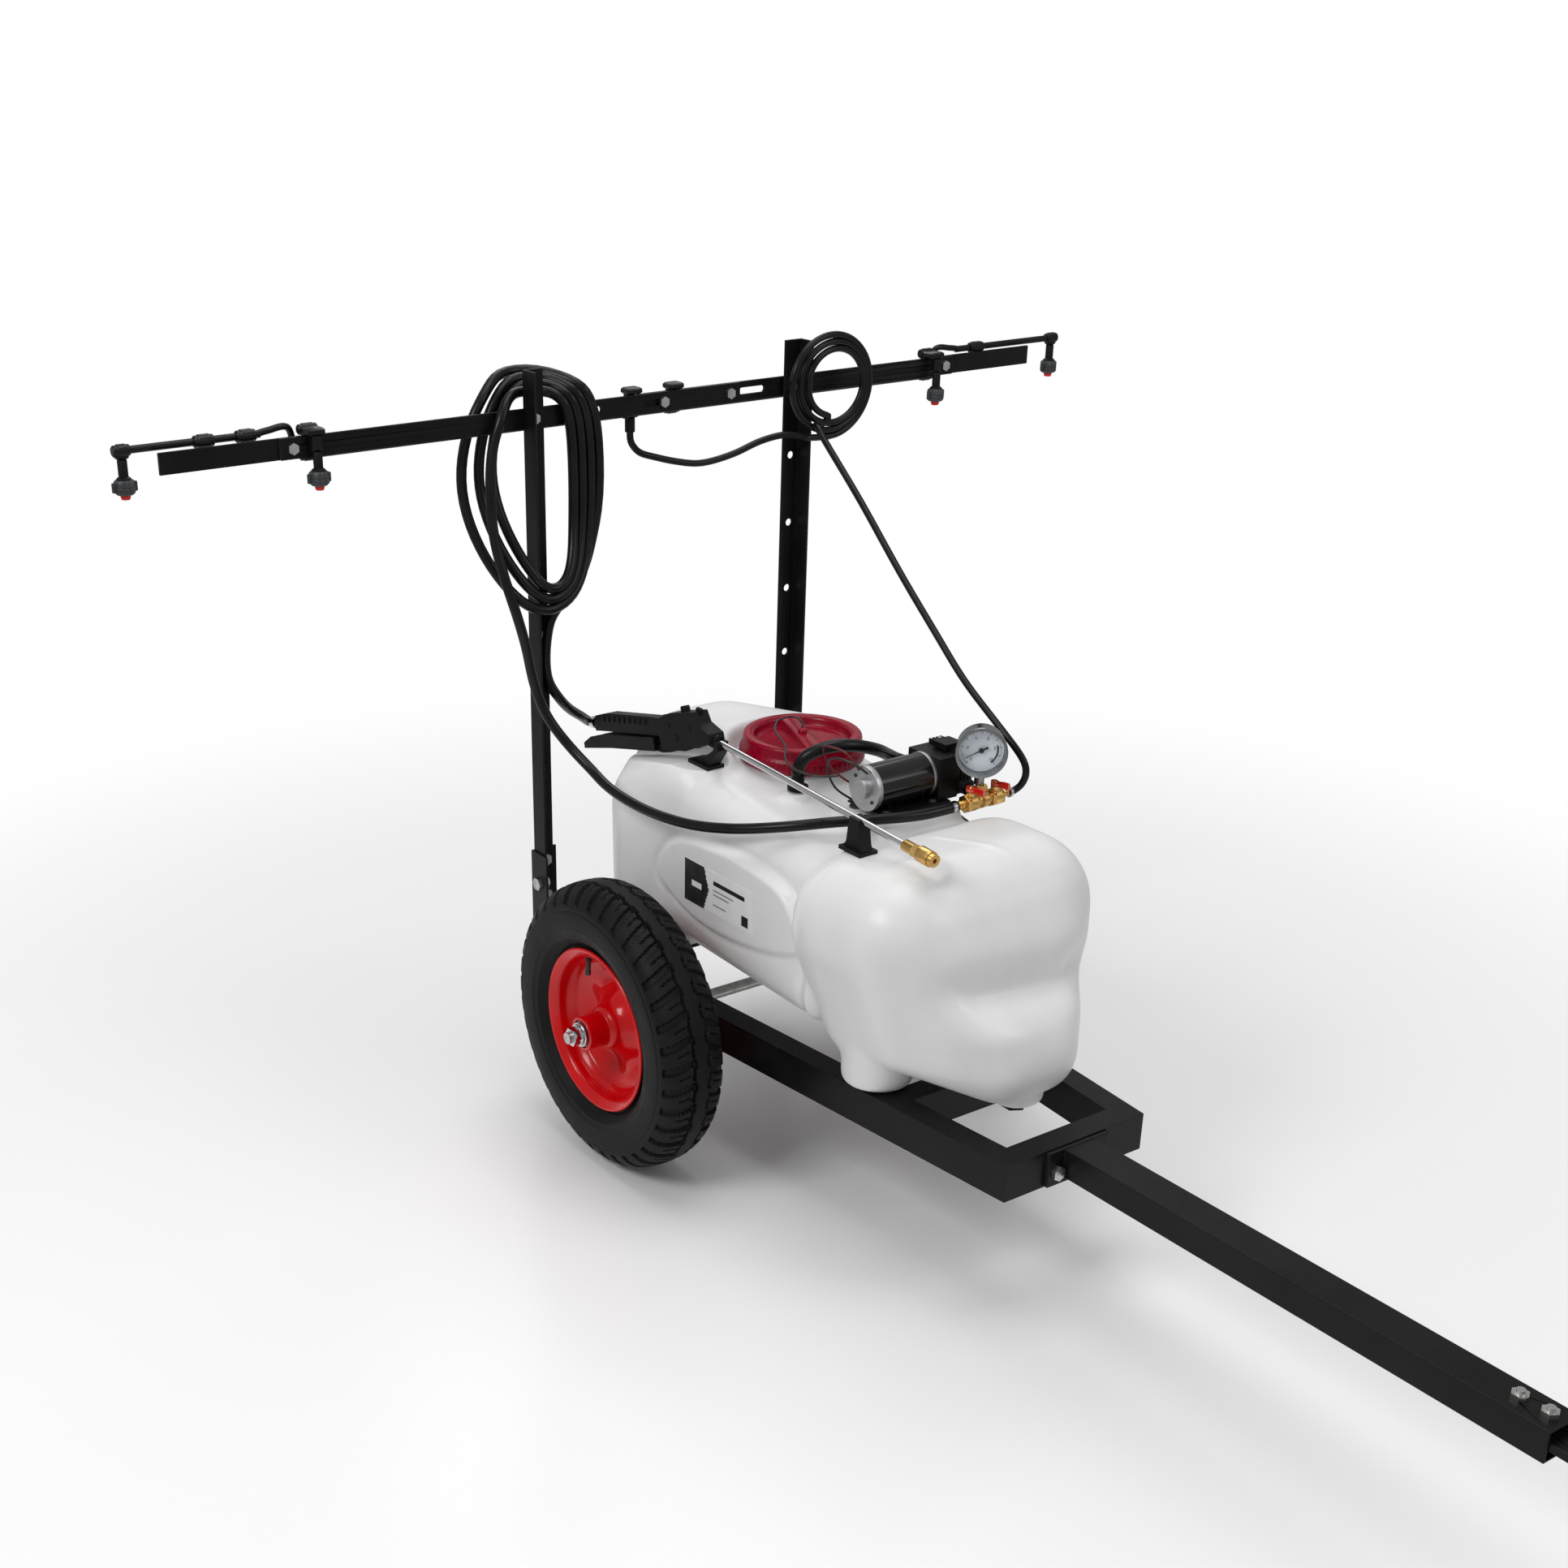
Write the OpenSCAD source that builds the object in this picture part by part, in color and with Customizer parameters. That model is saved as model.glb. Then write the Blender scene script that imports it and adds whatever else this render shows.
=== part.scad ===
// Tow-behind 12 V sprayer cart: trapezoid tube frame on two pneumatic wheels, 60 L tank,
// diaphragm pump with valve manifold and gauge, spray gun on clips, and a folding boom on two posts.
// Frame: +X forward along the drawbar, +Y left-hand side, +Z up, origin on the ground under the middle of
// the whole cart's box. The modules below are drawn about the axle and org() moves them there.

/* [Wheels and axle] */
// tyre outside diameter
tyre_od = 400; // [396:2:404]
// distance between the wheel centre planes
track = 540; // [530:2:560]
// axle rod diameter
axle_d = 16; // [15:0.5:16.5]

/* [Frame] */
// height of the rails' top face above ground
rail_top = 214; // [212:1:214]
// rail section height
rail_h = 50; // [44:2:50]
// rail section width
rail_w = 34; // [30:1:36]
// half width of the frame at the front
front_hw = 114.5; // [112:0.5:118]
// length of the drawbar tube
drawbar_l = 660; // [500:20:900]

/* [Boom] */
// height of the boom bolts above ground
boom_z = 958.6; // [955:1:965]
// pitch of the adjusting holes in the posts
hole_pitch = 96.8; // [95:0.2:98]
// half length of the boom, fold joint to centre
fold_y = 533; // [531:1:535]
// length of each fold-out arm
arm_l = 172; // [150:2:200]

/* [Tank] */
// radius of the filler lid's skirt
lid_r = 85; // [84:0.5:86]

/* [Hidden] */
$fn = 40;
e = 0.01;
wr = tyre_od/2;                 // axle height equals the wheel radius
wy = track/2;
kx = 0.0923;                    // taper of the rails in plan
xf = 598;                       // front face of the frame
xr = -262;                      // rear end of the rails
rz = rail_top - rail_h;
function ow(x) = front_hw + (xf-x)*kx;   // outer half width of the frame at x
px0 = -276;                     // rear face of the post legs
py0 = 229.5;                    // outer face of the post legs
leg = 30; lt = 3;
post_top = 1022; post_bot = 240;
bolt_y = 214.5;
bar_h = 26.6; bar_t = 4;
bc = -28;                       // boom centre offset in Y
axr = axle_d/2;
tank_top_x = [10,26];           // filler neck centre in plan

// ---------- helpers ----------
function unit(v) = v/norm(v);
function cr(a,b,c,d,t) = 0.5*((2*b)+(c-a)*t+(2*a-5*b+4*c-d)*t*t+(3*b-a-3*c+d)*t*t*t);
function spline(P,n) = [for(i=[0:len(P)-2]) for(j=[0:n-1])
   cr(P[max(i-1,0)],P[i],P[i+1],P[min(i+2,len(P)-1)],j/n), P[len(P)-1]];
function tang(P,i) = unit(P[min(i+1,len(P)-1)]-P[max(i-1,0)]);
function seedn(T) = unit(cross(T, abs(T[0])<0.8 ? [1,0,0] : [0,1,0]));
function frames(P,i=0,N=[0,0,0],acc=[]) = i>=len(P) ? acc :
   let(T=tang(P,i), N0=(i==0 ? seedn(T) : N), N1=unit(N0-(N0*T)*T)) frames(P,i+1,N1,concat(acc,[[T,N1]]));
module hose(P,r,k=8) {
  F = frames(P);
  pts = [for(i=[0:len(P)-1]) let(T=F[i][0],N=F[i][1],B=cross(T,N)) for(j=[0:k-1]) P[i]+r*(cos(360*j/k)*N+sin(360*j/k)*B)];
  m = len(P)-1;
  polyhedron(pts, concat(
    [[for(j=[0:k-1]) j]], [[for(j=[k-1:-1:0]) m*k+j]],
    [for(i=[0:m-1]) for(j=[0:k-1]) let(a=i*k+j,b=i*k+(j+1)%k,c=(i+1)*k+(j+1)%k,d=(i+1)*k+j) [a,d,b]],
    [for(i=[0:m-1]) for(j=[0:k-1]) let(a=i*k+j,b=i*k+(j+1)%k,c=(i+1)*k+(j+1)%k,d=(i+1)*k+j) [b,d,c]]));
}
module cy(p,q,r,f=40) { // cylinder between two points
  v=q-p; h=norm(v); b=acos(v[2]/h); c=atan2(v[1],v[0]);
  translate(p) rotate([0,b,c]) cylinder(h=h,r=r,$fn=f);
}
module bx(x0,x1,y0,y1,z0,z1) translate([x0,y0,z0]) cube([x1-x0,y1-y0,z1-z0]);
// bolt along +Z: head below z=0, shank to l, nut above it
module bolt(l,r=4.75,af=17,hh=6,nut=true,tail=4) {
  cylinder(h=l+(nut?hh+tail:0),r=r);
  translate([0,0,-hh]) cylinder(h=hh,r=af/2/cos(30),$fn=6);
  if(nut) translate([0,0,l]) cylinder(h=hh,r=af/2/cos(30),$fn=6);
}
module org() translate([-(drawbar_l+343.4)/2,-(bc+8.5),0]) children();
module mx(s) { if(s>0) children(); else mirror([0,1,0]) children(); }

// ---------- frame ----------
module rail_shape(o=0) polygon([[xr-e,ow(xr)-o],[xf-o,front_hw-o],[xf-o,front_hw-rail_w+o],[xr-e,ow(xr)-rail_w+o]]);
module main_frame() org() color([0.06,0.06,0.065]) {
  difference() {
    union() {
      for(s=[-1,1]) mx(s) translate([0,0,rz]) linear_extrude(rail_h) polygon([[xr,ow(xr)],[xf,front_hw],[xf,front_hw-rail_w],[xr,ow(xr)-rail_w]]);
      bx(xf-rail_w,xf,-front_hw+1,front_hw-1,rz,rail_top);
      bx(376,411,-ow(376)+4,ow(376)-4,rz+0.4,rail_top);
      bx(-240,-206,-ow(-206)+4,ow(-206)-4,rz+0.4,rail_top-12);
      // outriggers and angle sockets that hold the posts
      for(s=[-1,1]) mx(s) {
        bx(-278,-243,ow(-243)-1,py0+2,170,206);
        bx(px0-3.1,px0-0.1,py0+3.1-40,py0+3.1,170,352);
        bx(px0-3.1,px0+36.9,py0+0.1,py0+3.1,170,352);
      }
    }
    // hollow of the rails, open at the rear
    for(s=[-1,1]) mx(s) translate([0,0,rz+2.5]) linear_extrude(rail_h-5) polygon([[xr-1,ow(xr-1)-2.5],[xf-50,ow(xf-50)-2.5],[xf-50,ow(xf-50)-rail_w+2.5],[xr-1,ow(xr-1)-rail_w+2.5]]);
    // axle bores
    rotate([90,0,0]) translate([0,wr,-300]) cylinder(h=600,r=axr+0.1);
    // flange bolts
    for(y=[-36,36]) translate([xf-60,y,183]) rotate([0,90,0]) cylinder(h=80,r=5.25);
    // tank bolts
    for(s=[-1,1]) { translate([325,s*(ow(325)-17),rz-1]) cylinder(h=60,r=5.25); translate([-120,s*(ow(-120)-17),rz-1]) cylinder(h=60,r=5.25); }
    // socket bolts
    for(s=[-1,1]) { for(z=[335.5,281]) translate([px0-10,s*bolt_y,z]) rotate([0,90,0]) cylinder(h=12,r=5.25);
      translate([px0+18,s*(py0+5),307]) rotate([s*90,0,0]) cylinder(h=10,r=5.25); }
  }
}
module rail_caps() org() color([0.05,0.05,0.05]) for(s=[-1,1]) mx(s) {
  translate([0,0,rz+2.9]) linear_extrude(rail_h-5.8) polygon([[xr,ow(xr)-2.9],[xr+14,ow(xr+14)-2.9],[xr+14,ow(xr+14)-rail_w+2.9],[xr,ow(xr)-rail_w+2.9]]);
  bx(xr-2,xr,ow(xr)-rail_w+0.5,ow(xr)-3.4,rz+0.5,rail_top-0.5);
}
dz0 = rail_top-3-38; dz1 = rail_top-3; dx1 = xf+6+drawbar_l;
module drawbar() org() color([0.06,0.06,0.065]) difference() {
  union() {
    bx(xf,xf+6,-50,50,rz+1,rail_top-2);
    bx(xf+5,dx1,-25,25,dz0,dz1);
  }
  bx(xf+20,dx1+1,-22.2,22.2,dz0+2.8,dz1-2.8);
  for(y=[-36,36]) translate([xf-1,y,183]) rotate([0,90,0]) cylinder(h=8,r=5.25);
  for(x=[dx1-18,dx1-52]) translate([x,0,dz0-1]) cylinder(h=40,r=5.25);
}
tz = (dz0+dz1)/2;
module hitch_tongue() org() color([0.08,0.08,0.085]) difference() {
  union() {
    bx(dx1-80,dx1+55,-21.9,21.9,tz-5,tz+5);
    translate([dx1+55,0,tz-5]) cylinder(h=10,r=21.9,$fn=64);
  }
  translate([dx1+55,0,tz-6]) cylinder(h=12,r=8.5,$fn=64);
  for(x=[dx1-18,dx1-52]) translate([x,0,tz-6]) cylinder(h=12,r=5.25);
}
module frame_bolts() org() color([0.72,0.72,0.7]) {
  // drawbar flange
  for(y=[-36,36]) translate([xf+6,y,183]) rotate([0,-90,0]) bolt(6+rail_w);
  // hitch
  for(x=[dx1-18,dx1-52]) translate([x,0,dz0]) bolt(38);
  // tank feet: heads under the rails, shanks into the moulded inserts
  for(s=[-1,1]) for(x=[325,-120]) translate([x,s*(ow(x)-17),rz]) bolt(rail_h+14,nut=false);
  // post sockets
  for(s=[-1,1]) { for(z=[335.5,281]) translate([px0-3.1,s*bolt_y,z]) rotate([0,90,0]) bolt(6.1,tail=1.5);
    translate([px0+18,s*(py0+3.1),307]) rotate([s*90,0,0]) bolt(6.1,tail=3); }
}

// ---------- axle and wheels ----------
module axle() org() color([0.7,0.7,0.68]) translate([0,0,wr]) rotate([90,0,0]) {
  translate([0,0,-wy-82]) cylinder(h=track+164,r=axr);
  for(s=[-1,1]) translate([0,0,s>0?ow(0)+1.6:-(ow(0)+8.6)]) cylinder(h=7,r=14);
  for(s=[-1,1]) translate([0,0,s>0?wy-54.5:-(wy-45.5)]) cylinder(h=9,r=11.5);
}
module axle_nuts() org() color([0.78,0.78,0.78]) for(s=[-1,1]) translate([0,s*wy,wr]) rotate([-s*90,0,0]) difference() {
  union() { translate([0,0,59.5]) cylinder(h=3,r=17); translate([0,0,62.5]) cylinder(h=3,r=15); translate([0,0,65.5]) cylinder(h=11,r=13.3,$fn=6); }
  translate([0,0,58]) cylinder(h=24,r=axr+0.05);
}
module wheel_bearings() org() color([0.6,0.6,0.62]) for(s=[-1,1]) for(o=[-44,48]) translate([0,s*wy,wr]) rotate([-s*90,0,0]) translate([0,0,o]) difference() {
  cylinder(h=10,r=17.45,$fn=64); translate([0,0,-1]) cylinder(h=12,r=axr+0.02,$fn=64);
}
function tyre_o(n=26) = [for(i=[0:n]) let(a=-118+236*i/n, c=cos(a), s=sin(a)) [152+ (c>0?48*pow(c,0.75):-46*pow(-c,0.9)), 50*(s>0?pow(s,0.8):-pow(-s,0.8))]];
function tyre_i(n=26) = [for(i=[0:n]) let(a=112-224*i/n, c=cos(a), s=sin(a)) [150+ (c>0?39*pow(c,0.8):-46*pow(-c,0.95)), 42*(s>0?pow(s,0.85):-pow(-s,0.85))]];
module tyre() color([0.05,0.05,0.05]) translate([0,0,0]) rotate_extrude($fn=96) difference() {
  polygon(concat([[103.6,-31],[117,-33.5]],tyre_o(),[[117,33.5],[103.6,31]],[[103.6,22]],tyre_i(),[[103.6,-22]]));
  for(w=[-14.5,14.5]) translate([195,w-2]) square([10,4]);
}
module at_wheel(s) translate([0,s*wy,wr]) rotate([-s*90,0,0]) children();
module tyre_right() org() at_wheel(-1) tyre();
module tyre_left() org() at_wheel(1) tyre();
module tube() color([0.1,0.1,0.1]) {
  rotate_extrude($fn=72) polygon([for(i=[0:23]) let(a=15*i) [146+36*cos(a),30*sin(a)]]);
  // valve stem through the rim's drop centre towards the outside
  rotate([0,0,115]) cy([122,0,11],[84,0,24],4.4);
}
module tube_right() org() at_wheel(-1) tube();
module tube_left() org() at_wheel(1) tube();
module rim() color([0.75,0.03,0.03]) difference() {
  rotate_extrude($fn=96) polygon([
    // outer face from the outer lip inwards
    [115.5,38],[113,40.5],[109.5,39.5],[103,35],[100,31],[99,20],[93,12],[90,6],[80,2],[68,-6],[56,-6],[44,3],[33,14],[30,24],[26,27],[23.5,28],[23.5,59],[17.5,59],
    [17.5,-45],[23.5,-45],[23.5,20],[30,11],[41,0],[54,-10],[69,-10],[80,-3],[90,0.5],[90,-12],[96,-22],[97.2,-31],[103,-37],[109.5,-41],[113,-40.5],[115.5,-38],[112.5,-35],[109.8,-36],[103.2,-33.5],[102.5,-30],[99.5,-20],[93.5,-11],[93.5,9],[96,12],[102.5,20],[103,31],[109.5,36],[112.5,35]]);
  rotate([0,0,115]) cy([122,0,11],[84,0,24],4.9);
}
module rim_right() org() at_wheel(-1) rim();
module rim_left() org() at_wheel(1) rim();

// ---------- posts ----------
module post() color([0.06,0.06,0.065]) difference() {
  union() { bx(px0,px0+lt,py0-leg,py0,post_bot,post_top); bx(px0,px0+leg,py0-lt,py0,post_bot,post_top); }
  for(z=concat([for(i=[0:7]) boom_z-i*hole_pitch],[335.5])) translate([px0-2,bolt_y,z]) rotate([0,90,0]) cylinder(h=8,r=5.1);
  translate([px0+18,py0-6,307]) rotate([-90,0,0]) cylinder(h=10,r=5.1);
}
module post_right() org() mx(-1) post();
module post_left() org() post();

// ---------- tank ----------
module balls(L,f=28) hull() for(p=L) for(s=[-1,1]) translate([p[0],s*p[1],p[2]]) sphere(r=p[3],$fn=f);
neck = [tank_top_x[0],tank_top_x[1],0];
REAR = [[-143,123,280,48],[-69,120,298,45],[-132,123,425,53],[-166,28,466,88],[-65,87,479,73]];
MID  = [[-70,107,322,47],[248,109,319,51],[-60,99,473,53],[249,97,443,46]];
FRONT= [[311,107,288,45],[397,101,297,45],[305,112,425,83],[370,98,425,90],[484,25,284,58]];
function inn(L,w=4) = [for(p=L) [p[0],p[1],p[2],p[3]-w]];
sx = 452; sy = 36;              // centre of the sump
// shelf under the gun: the near shoulder drops away so the lever can hang over it
module shelf(o=0) {
  translate([0,gy+14+o,0]) rotate([90,0,0]) linear_extrude(120) polygon([[-330,440-o],[-235,481-o],[-141,508-o],[-100,519-o],[-66,526-o],[-9+o,526-o],[-3+o,545],[-3+o,680],[-330,680]]);
  translate([264-o,gy-80,508-o]) cube([42+2*o,95+o,120]);
}
module tank() org() color([0.93,0.93,0.91]) difference() {
  union() {
    difference() {
      union() { balls(REAR); balls(MID,32); balls(FRONT); }
      translate([neck[0],neck[1],525.5]) cylinder(h=60,r=91.5,$fn=96);
      shelf();
    }
    // raised panels on the sides
    for(s=[-1,1]) mx(s) translate([0,162,0]) rotate([90,0,0]) linear_extrude(22) polygon([[-42,423],[-8,443],[110,456],[205,444],[232,420],[250,376],[226,356],[87,332],[-7,340],[-65,373]]);
    // seats for the gun clips
    bx(-60,-14,gy-15,gy+15,485,526); bx(262,306,gy-15,gy+15,470,508);
    translate([neck[0],neck[1],470]) cylinder(h=60,r=78,$fn=96);
    bx(150,245,-30,112,470,509);
    translate([385,-83,470]) cylinder(h=48,r=34,$fn=64);
    translate([95,-47,480]) cylinder(h=40,r=17);
    for(s=[-1,1]) { translate([342,s*100,214]) cylinder(h=64,r=47,$fn=64); translate([-120,s*150,214]) cylinder(h=60,r=34,$fn=48); }
    translate([sx,sy,194]) cylinder(h=70,r=37,$fn=64);
  }
  difference() { balls(inn(REAR),18); shelf(4); }
  difference() { balls(inn(MID),20); shelf(4); }
  difference() { balls(inn(FRONT),18); shelf(4); }
  translate([neck[0],neck[1],440]) cylinder(h=60,r=62,$fn=96);
  translate([neck[0],neck[1],504]) cylinder(h=40,r=70,$fn=96);
  translate([neck[0],neck[1],490]) cylinder(h=20,r=60,$fn=96);
  translate([95,-47,440]) cylinder(h=90,r=9);
  translate([sx,sy,198]) cylinder(h=70,r=31,$fn=64);
  translate([sx,sy,185]) cylinder(h=30,r=10.1);
  for(s=[-1,1]) { translate([325,s*(ow(325)-17),213]) cylinder(h=18,r=5.1); translate([-120,s*(ow(-120)-17),213]) cylinder(h=18,r=5.1); }
}
module label() org() color([0.9,0.9,0.9]) bx(3,155,-162.7,-162.1,360,420);
module drain_plug() org() color([0.05,0.05,0.05]) { translate([sx,sy,184]) cylinder(h=9.9,r=17,$fn=6); translate([sx,sy,193]) cylinder(h=10,r=9.9); }
module strainer() org() color([0.85,0.85,0.8]) translate([neck[0],neck[1],0]) difference() {
  union() { translate([0,0,504.1]) cylinder(h=2.4,r=69,$fn=72); translate([0,0,430]) cylinder(h=75,r=58,$fn=72); }
  translate([0,0,432]) cylinder(h=90,r=56,$fn=72);
}
module suction_fitting() org() color([0.06,0.06,0.06]) {
  translate([95,-47,520.1]) cylinder(h=5,r=14);
  translate([95,-47,500]) cylinder(h=40,r=8.5);
}
module pickup_tube() org() color([0.2,0.2,0.22]) difference() {
  union() { translate([95,-47,290]) cylinder(h=209.8,r=7); translate([95,-47,281]) cylinder(h=26,r=15); }
  translate([95,-47,288]) cylinder(h=230,r=4.5);
}
// ---------- lid ----------
lz = 562;
module lid() org() color([0.5,0.02,0.07]) translate([neck[0],neck[1],0]) {
  difference() {
    union() { translate([0,0,527]) cylinder(h=16,r=lid_r,$fn=96); translate([0,0,543]) cylinder(h=3,r1=lid_r,r2=lid_r-4,$fn=96);
      translate([0,0,546]) cylinder(h=13,r=lid_r-4,$fn=96); translate([0,0,559]) cylinder(h=3,r1=lid_r-4,r2=lid_r-8,$fn=96); }
    translate([0,0,520]) cylinder(h=14.4,r=80,$fn=96);
    difference() { translate([0,0,548]) cylinder(h=20,r=64,$fn=96); rotate([0,0,-22]) bx(-70,70,-11,11,545,575); }
  }
  translate([0,0,lz-1]) cylinder(h=6,r=6);
}
module lid_gasket() org() color([0.1,0.1,0.1]) translate([neck[0],neck[1],530.1]) difference() { cylinder(h=4,r=78,$fn=96); translate([0,0,-1]) cylinder(h=6,r=71,$fn=96); }
TETH = [[10,26,568.7],[2,30,574],[-10,22,578],[-12,2,576],[6,-18,572],[32,-30,570],[60,-42,568],[84,-60,560],[118,-66,556],[150,-56,556],[166,-38,558]];
module lid_tether() org() color([0.08,0.02,0.03]) hose(spline(TETH,4),1.5,6);

// ---------- pump ----------
mz = 546; mxx = 196;
module pmotor(p) translate([mxx,0,mz]) rotate([-90,0,0]) children();
module pump_motor() org() color([0.04,0.04,0.04]) difference() {
  pmotor() translate([0,0,-11.9]) cylinder(h=85.8,r=29,$fn=72);
  pmotor() translate([0,0,-8]) cylinder(h=100,r=26,$fn=72);
  pmotor() translate([0,0,-14]) cylinder(h=10,r=4.55,$fn=32);
}
module pump_caps() org() color([0.66,0.66,0.68]) {
  pmotor() difference() { union() { translate([0,0,-20]) cylinder(h=8,r=29.8,$fn=72); translate([0,0,-28]) cylinder(h=9,r=13,$fn=48); }
    translate([0,0,-24]) cylinder(h=20,r=4.55,$fn=32); }
  pmotor() difference() { translate([0,0,74]) cylinder(h=5,r=29.8,$fn=72); translate([0,0,70]) cylinder(h=12,r=8,$fn=48); }
}
module pump_rotor() org() color([0.5,0.35,0.2]) pmotor() { translate([0,0,-23]) cylinder(h=113,r=4.5,$fn=32); translate([0,0,2]) cylinder(h=58,r=21,$fn=48); translate([0,0,62]) cylinder(h=7,r=10,$fn=32); }
module pump_head() org() color([0.05,0.05,0.05]) difference() {
  union() {
    bx(mxx-30,mxx+32,79.2,112,517.5,574);
    bx(mxx-28,mxx+28,112,140,518.5,577);
    for(i=[0:3]) bx(mxx-30.5,mxx+30.5,114+i*6,117+i*6,519.5,579);
    pmotor() translate([0,0,140-e]) cylinder(h=7,r=20,$fn=48);
    bx(mxx-12,mxx+14,104,132,576,584);
    // outlet and inlet ports
    cy([mxx+30,121,530],[mxx+44,121,530],9.5);
    cy([mxx-30,121,530],[mxx-44,121,530],9.5);
    cy([mxx-43,121,530],[mxx-62,121,530],6.9);
    for(x=[-22,22]) for(z=[-20,20]) cy([mxx+x,146,mz+z],[mxx+x,139,mz+z],4.5,24);
  }
  pmotor() translate([0,0,75]) cylinder(h=20,r=6,$fn=32);
}
module pump_base() org() color([0.06,0.06,0.06]) difference() {
  union() { bx(158,234,-14,96,515,517.4); for(y=[6,62]) bx(mxx-20,mxx+20,y,y+4,516,530); }
  pmotor() translate([0,0,-15]) cylinder(h=90,r=29.1,$fn=72);
  for(z=[-22,73.5]) pmotor() translate([0,0,z]) cylinder(h=z<0?10.5:7,r=30.1,$fn=72);
  for(x=[166,226]) for(y=[-6,72]) translate([x,y,512]) cylinder(h=10,r=2.8,$fn=24);
}
module pump_feet() org() color([0.03,0.03,0.03]) for(x=[166,226]) for(y=[-6,72]) translate([x,y,509]) { cylinder(h=6,r=7.5,$fn=32); cylinder(h=11.5,r=2.6,$fn=24); translate([0,0,8.4]) cylinder(h=3.5,r=5,$fn=32); }
module suction_hose() org() color([0.05,0.05,0.05]) hose(spline([[95,-47,542.6],[95,-47,548],[102,-40,566],[116,-14,578],[126,20,576],[124,60,562],[110,92,545],[104,113,533],[116,121,530],[133.6,121,530]],5),8.6,10);
module pump_wires() org() color([0.4,0.03,0.03]) {
  hose(spline([[188,-22,569],[176,-34,590],[150,-38,592],[128,-34,584],[132,-26,560],[148,-14,544],[156,6,530]],5),1.6,6);
  hose(spline([[204,-22,569],[196,-40,584],[166,-48,584],[150,-44,566],[150,-30,536],[152,-2,514]],5),1.6,6);
}
// ---------- manifold, valves, gauge ----------
vx = 262; vz = 521;
module manifold() org() color([0.72,0.5,0.2]) difference() {
  union() {
    cy([vx,92,vz],[vx,158,vz],8.2);
    cy([vx,97,vz],[vx,111,vz],11.5); cy([vx,140,vz],[vx,154,vz],11.5);
    cy([vx,121,vz],[vx,129,vz],10.8);
    translate([vx,104,vz]) cylinder(h=15,r=6.5); translate([vx,147,vz]) cylinder(h=15,r=6.5);
    translate([vx,122,vz]) cylinder(h=20,r=6); translate([vx,122,vz+14]) cylinder(h=7,r=8,$fn=6);
    cy([vx,80,vz],[vx,93,vz],6); cy([vx,157,vz],[vx,170,vz],4.6);
    cy([mxx+47.2,121,529],[vx,123,vz+2],8);
  }
  for(y=[104,147]) { translate([vx,y,vz]) sphere(r=7,$fn=36); translate([vx,y,vz]) cylinder(h=30,r=2.6); }
}
module vhandle(y,a) translate([vx,y,vz+15.3]) rotate([0,0,a]) {
  translate([0,0,1]) cylinder(h=3.5,r=6.5);
  bx(-3,26,-5,5,1.2,4.2);
}
module valve_a() org() color([0.85,0.13,0.06]) { translate([vx,104,vz]) sphere(r=6.9,$fn=32); translate([vx,104,vz]) cylinder(h=21,r=2.5); vhandle(104,0); }
module valve_b() org() color([0.85,0.13,0.06]) { translate([vx,147,vz]) sphere(r=6.9,$fn=32); translate([vx,147,vz]) cylinder(h=21,r=2.5); vhandle(147,0); }
gp = [258,121,588]; ga = -40;
module gface() translate(gp) rotate([0,0,ga]) rotate([0,90,0]) children();
module gauge_case() org() color([0.5,0.5,0.5]) {
  gface() difference() { union() { translate([0,0,-13.5]) cylinder(h=23.5,r=31.5,$fn=96); translate([0,0,8]) cylinder(h=6,r=33.5,$fn=96); }
    translate([0,0,-2]) cylinder(h=20,r=29.5,$fn=96); translate([0,0,-10]) cylinder(h=15,r=1.45,$fn=32); }
  translate([gp[0],gp[1],vz+21.1]) cylinder(h=gp[2]-30-(vz+21.1),r=6.5);
}
module gauge_dial() org() color([0.95,0.95,0.95]) gface() difference() { translate([0,0,-1.9]) cylinder(h=1.5,r=29.2,$fn=72); translate([0,0,-4]) cylinder(h=6,r=2,$fn=32); }
module gauge_needle() org() color([0.05,0.05,0.05]) gface() { translate([0,0,-9]) cylinder(h=14,r=1.4,$fn=24); translate([0,0,2]) cylinder(h=2,r=3.6,$fn=32); rotate([0,0,-152]) bx(-9,25,-0.9,0.9,2.2,3.6); }
module gauge_lens() org() color([0.8,0.85,0.9]) gface() translate([0,0,10]) cylinder(h=2.5,r=29.3,$fn=72);
module ring(p,q,r1,r2) difference() { cy(p,q,r1); cy(p-(q-p),q+(q-p),r2); }
module hose_clamps() org() color([0.75,0.75,0.77]) {
  ring([vx,71,vz],[vx,77,vz],7.9,6.5);
  ring([vx,171,vz],[vx,175,vz],6.8,5.6);
  ring([-306,-100,510.6],[-316,-100,508.6],8.6,7.4);
}
// ---------- hoses ----------
function sm(a,b,t) = let(s=min(max((t-a)/(b-a),0),1)) s*s*(3-2*s);
function mixv(a,b,s) = a+(b-a)*s;
function coilp(u) = let(t=(u-floor(u))*360, zt=992+7*u, zb=745-14*u, yr=-163+14*u, yl=-255-12*u-3.3*u*u,
   yc=(yr+yl)/2, a=(yr-yl)/2, zc=(zt+zb)/2, b=(zt-zb)/2, S=sin(t), C=cos(t), p=(t<90?0.55:1),
   xs=16*(1-sm(5,38,t)+sm(325,360,t)),
   x=t<60?mixv(-285,-266,sm(8,40,t)):t<180?mixv(-266,-238,sm(100,165,t)):t<195?-238:t<300?mixv(-238,-303,sm(205,285,t)):mixv(-303,-285,sm(328,356,t)))
   [x-xs*u, yc+a*sign(S)*pow(abs(S),p), zc+b*sign(C)*pow(abs(C),p)];
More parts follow.
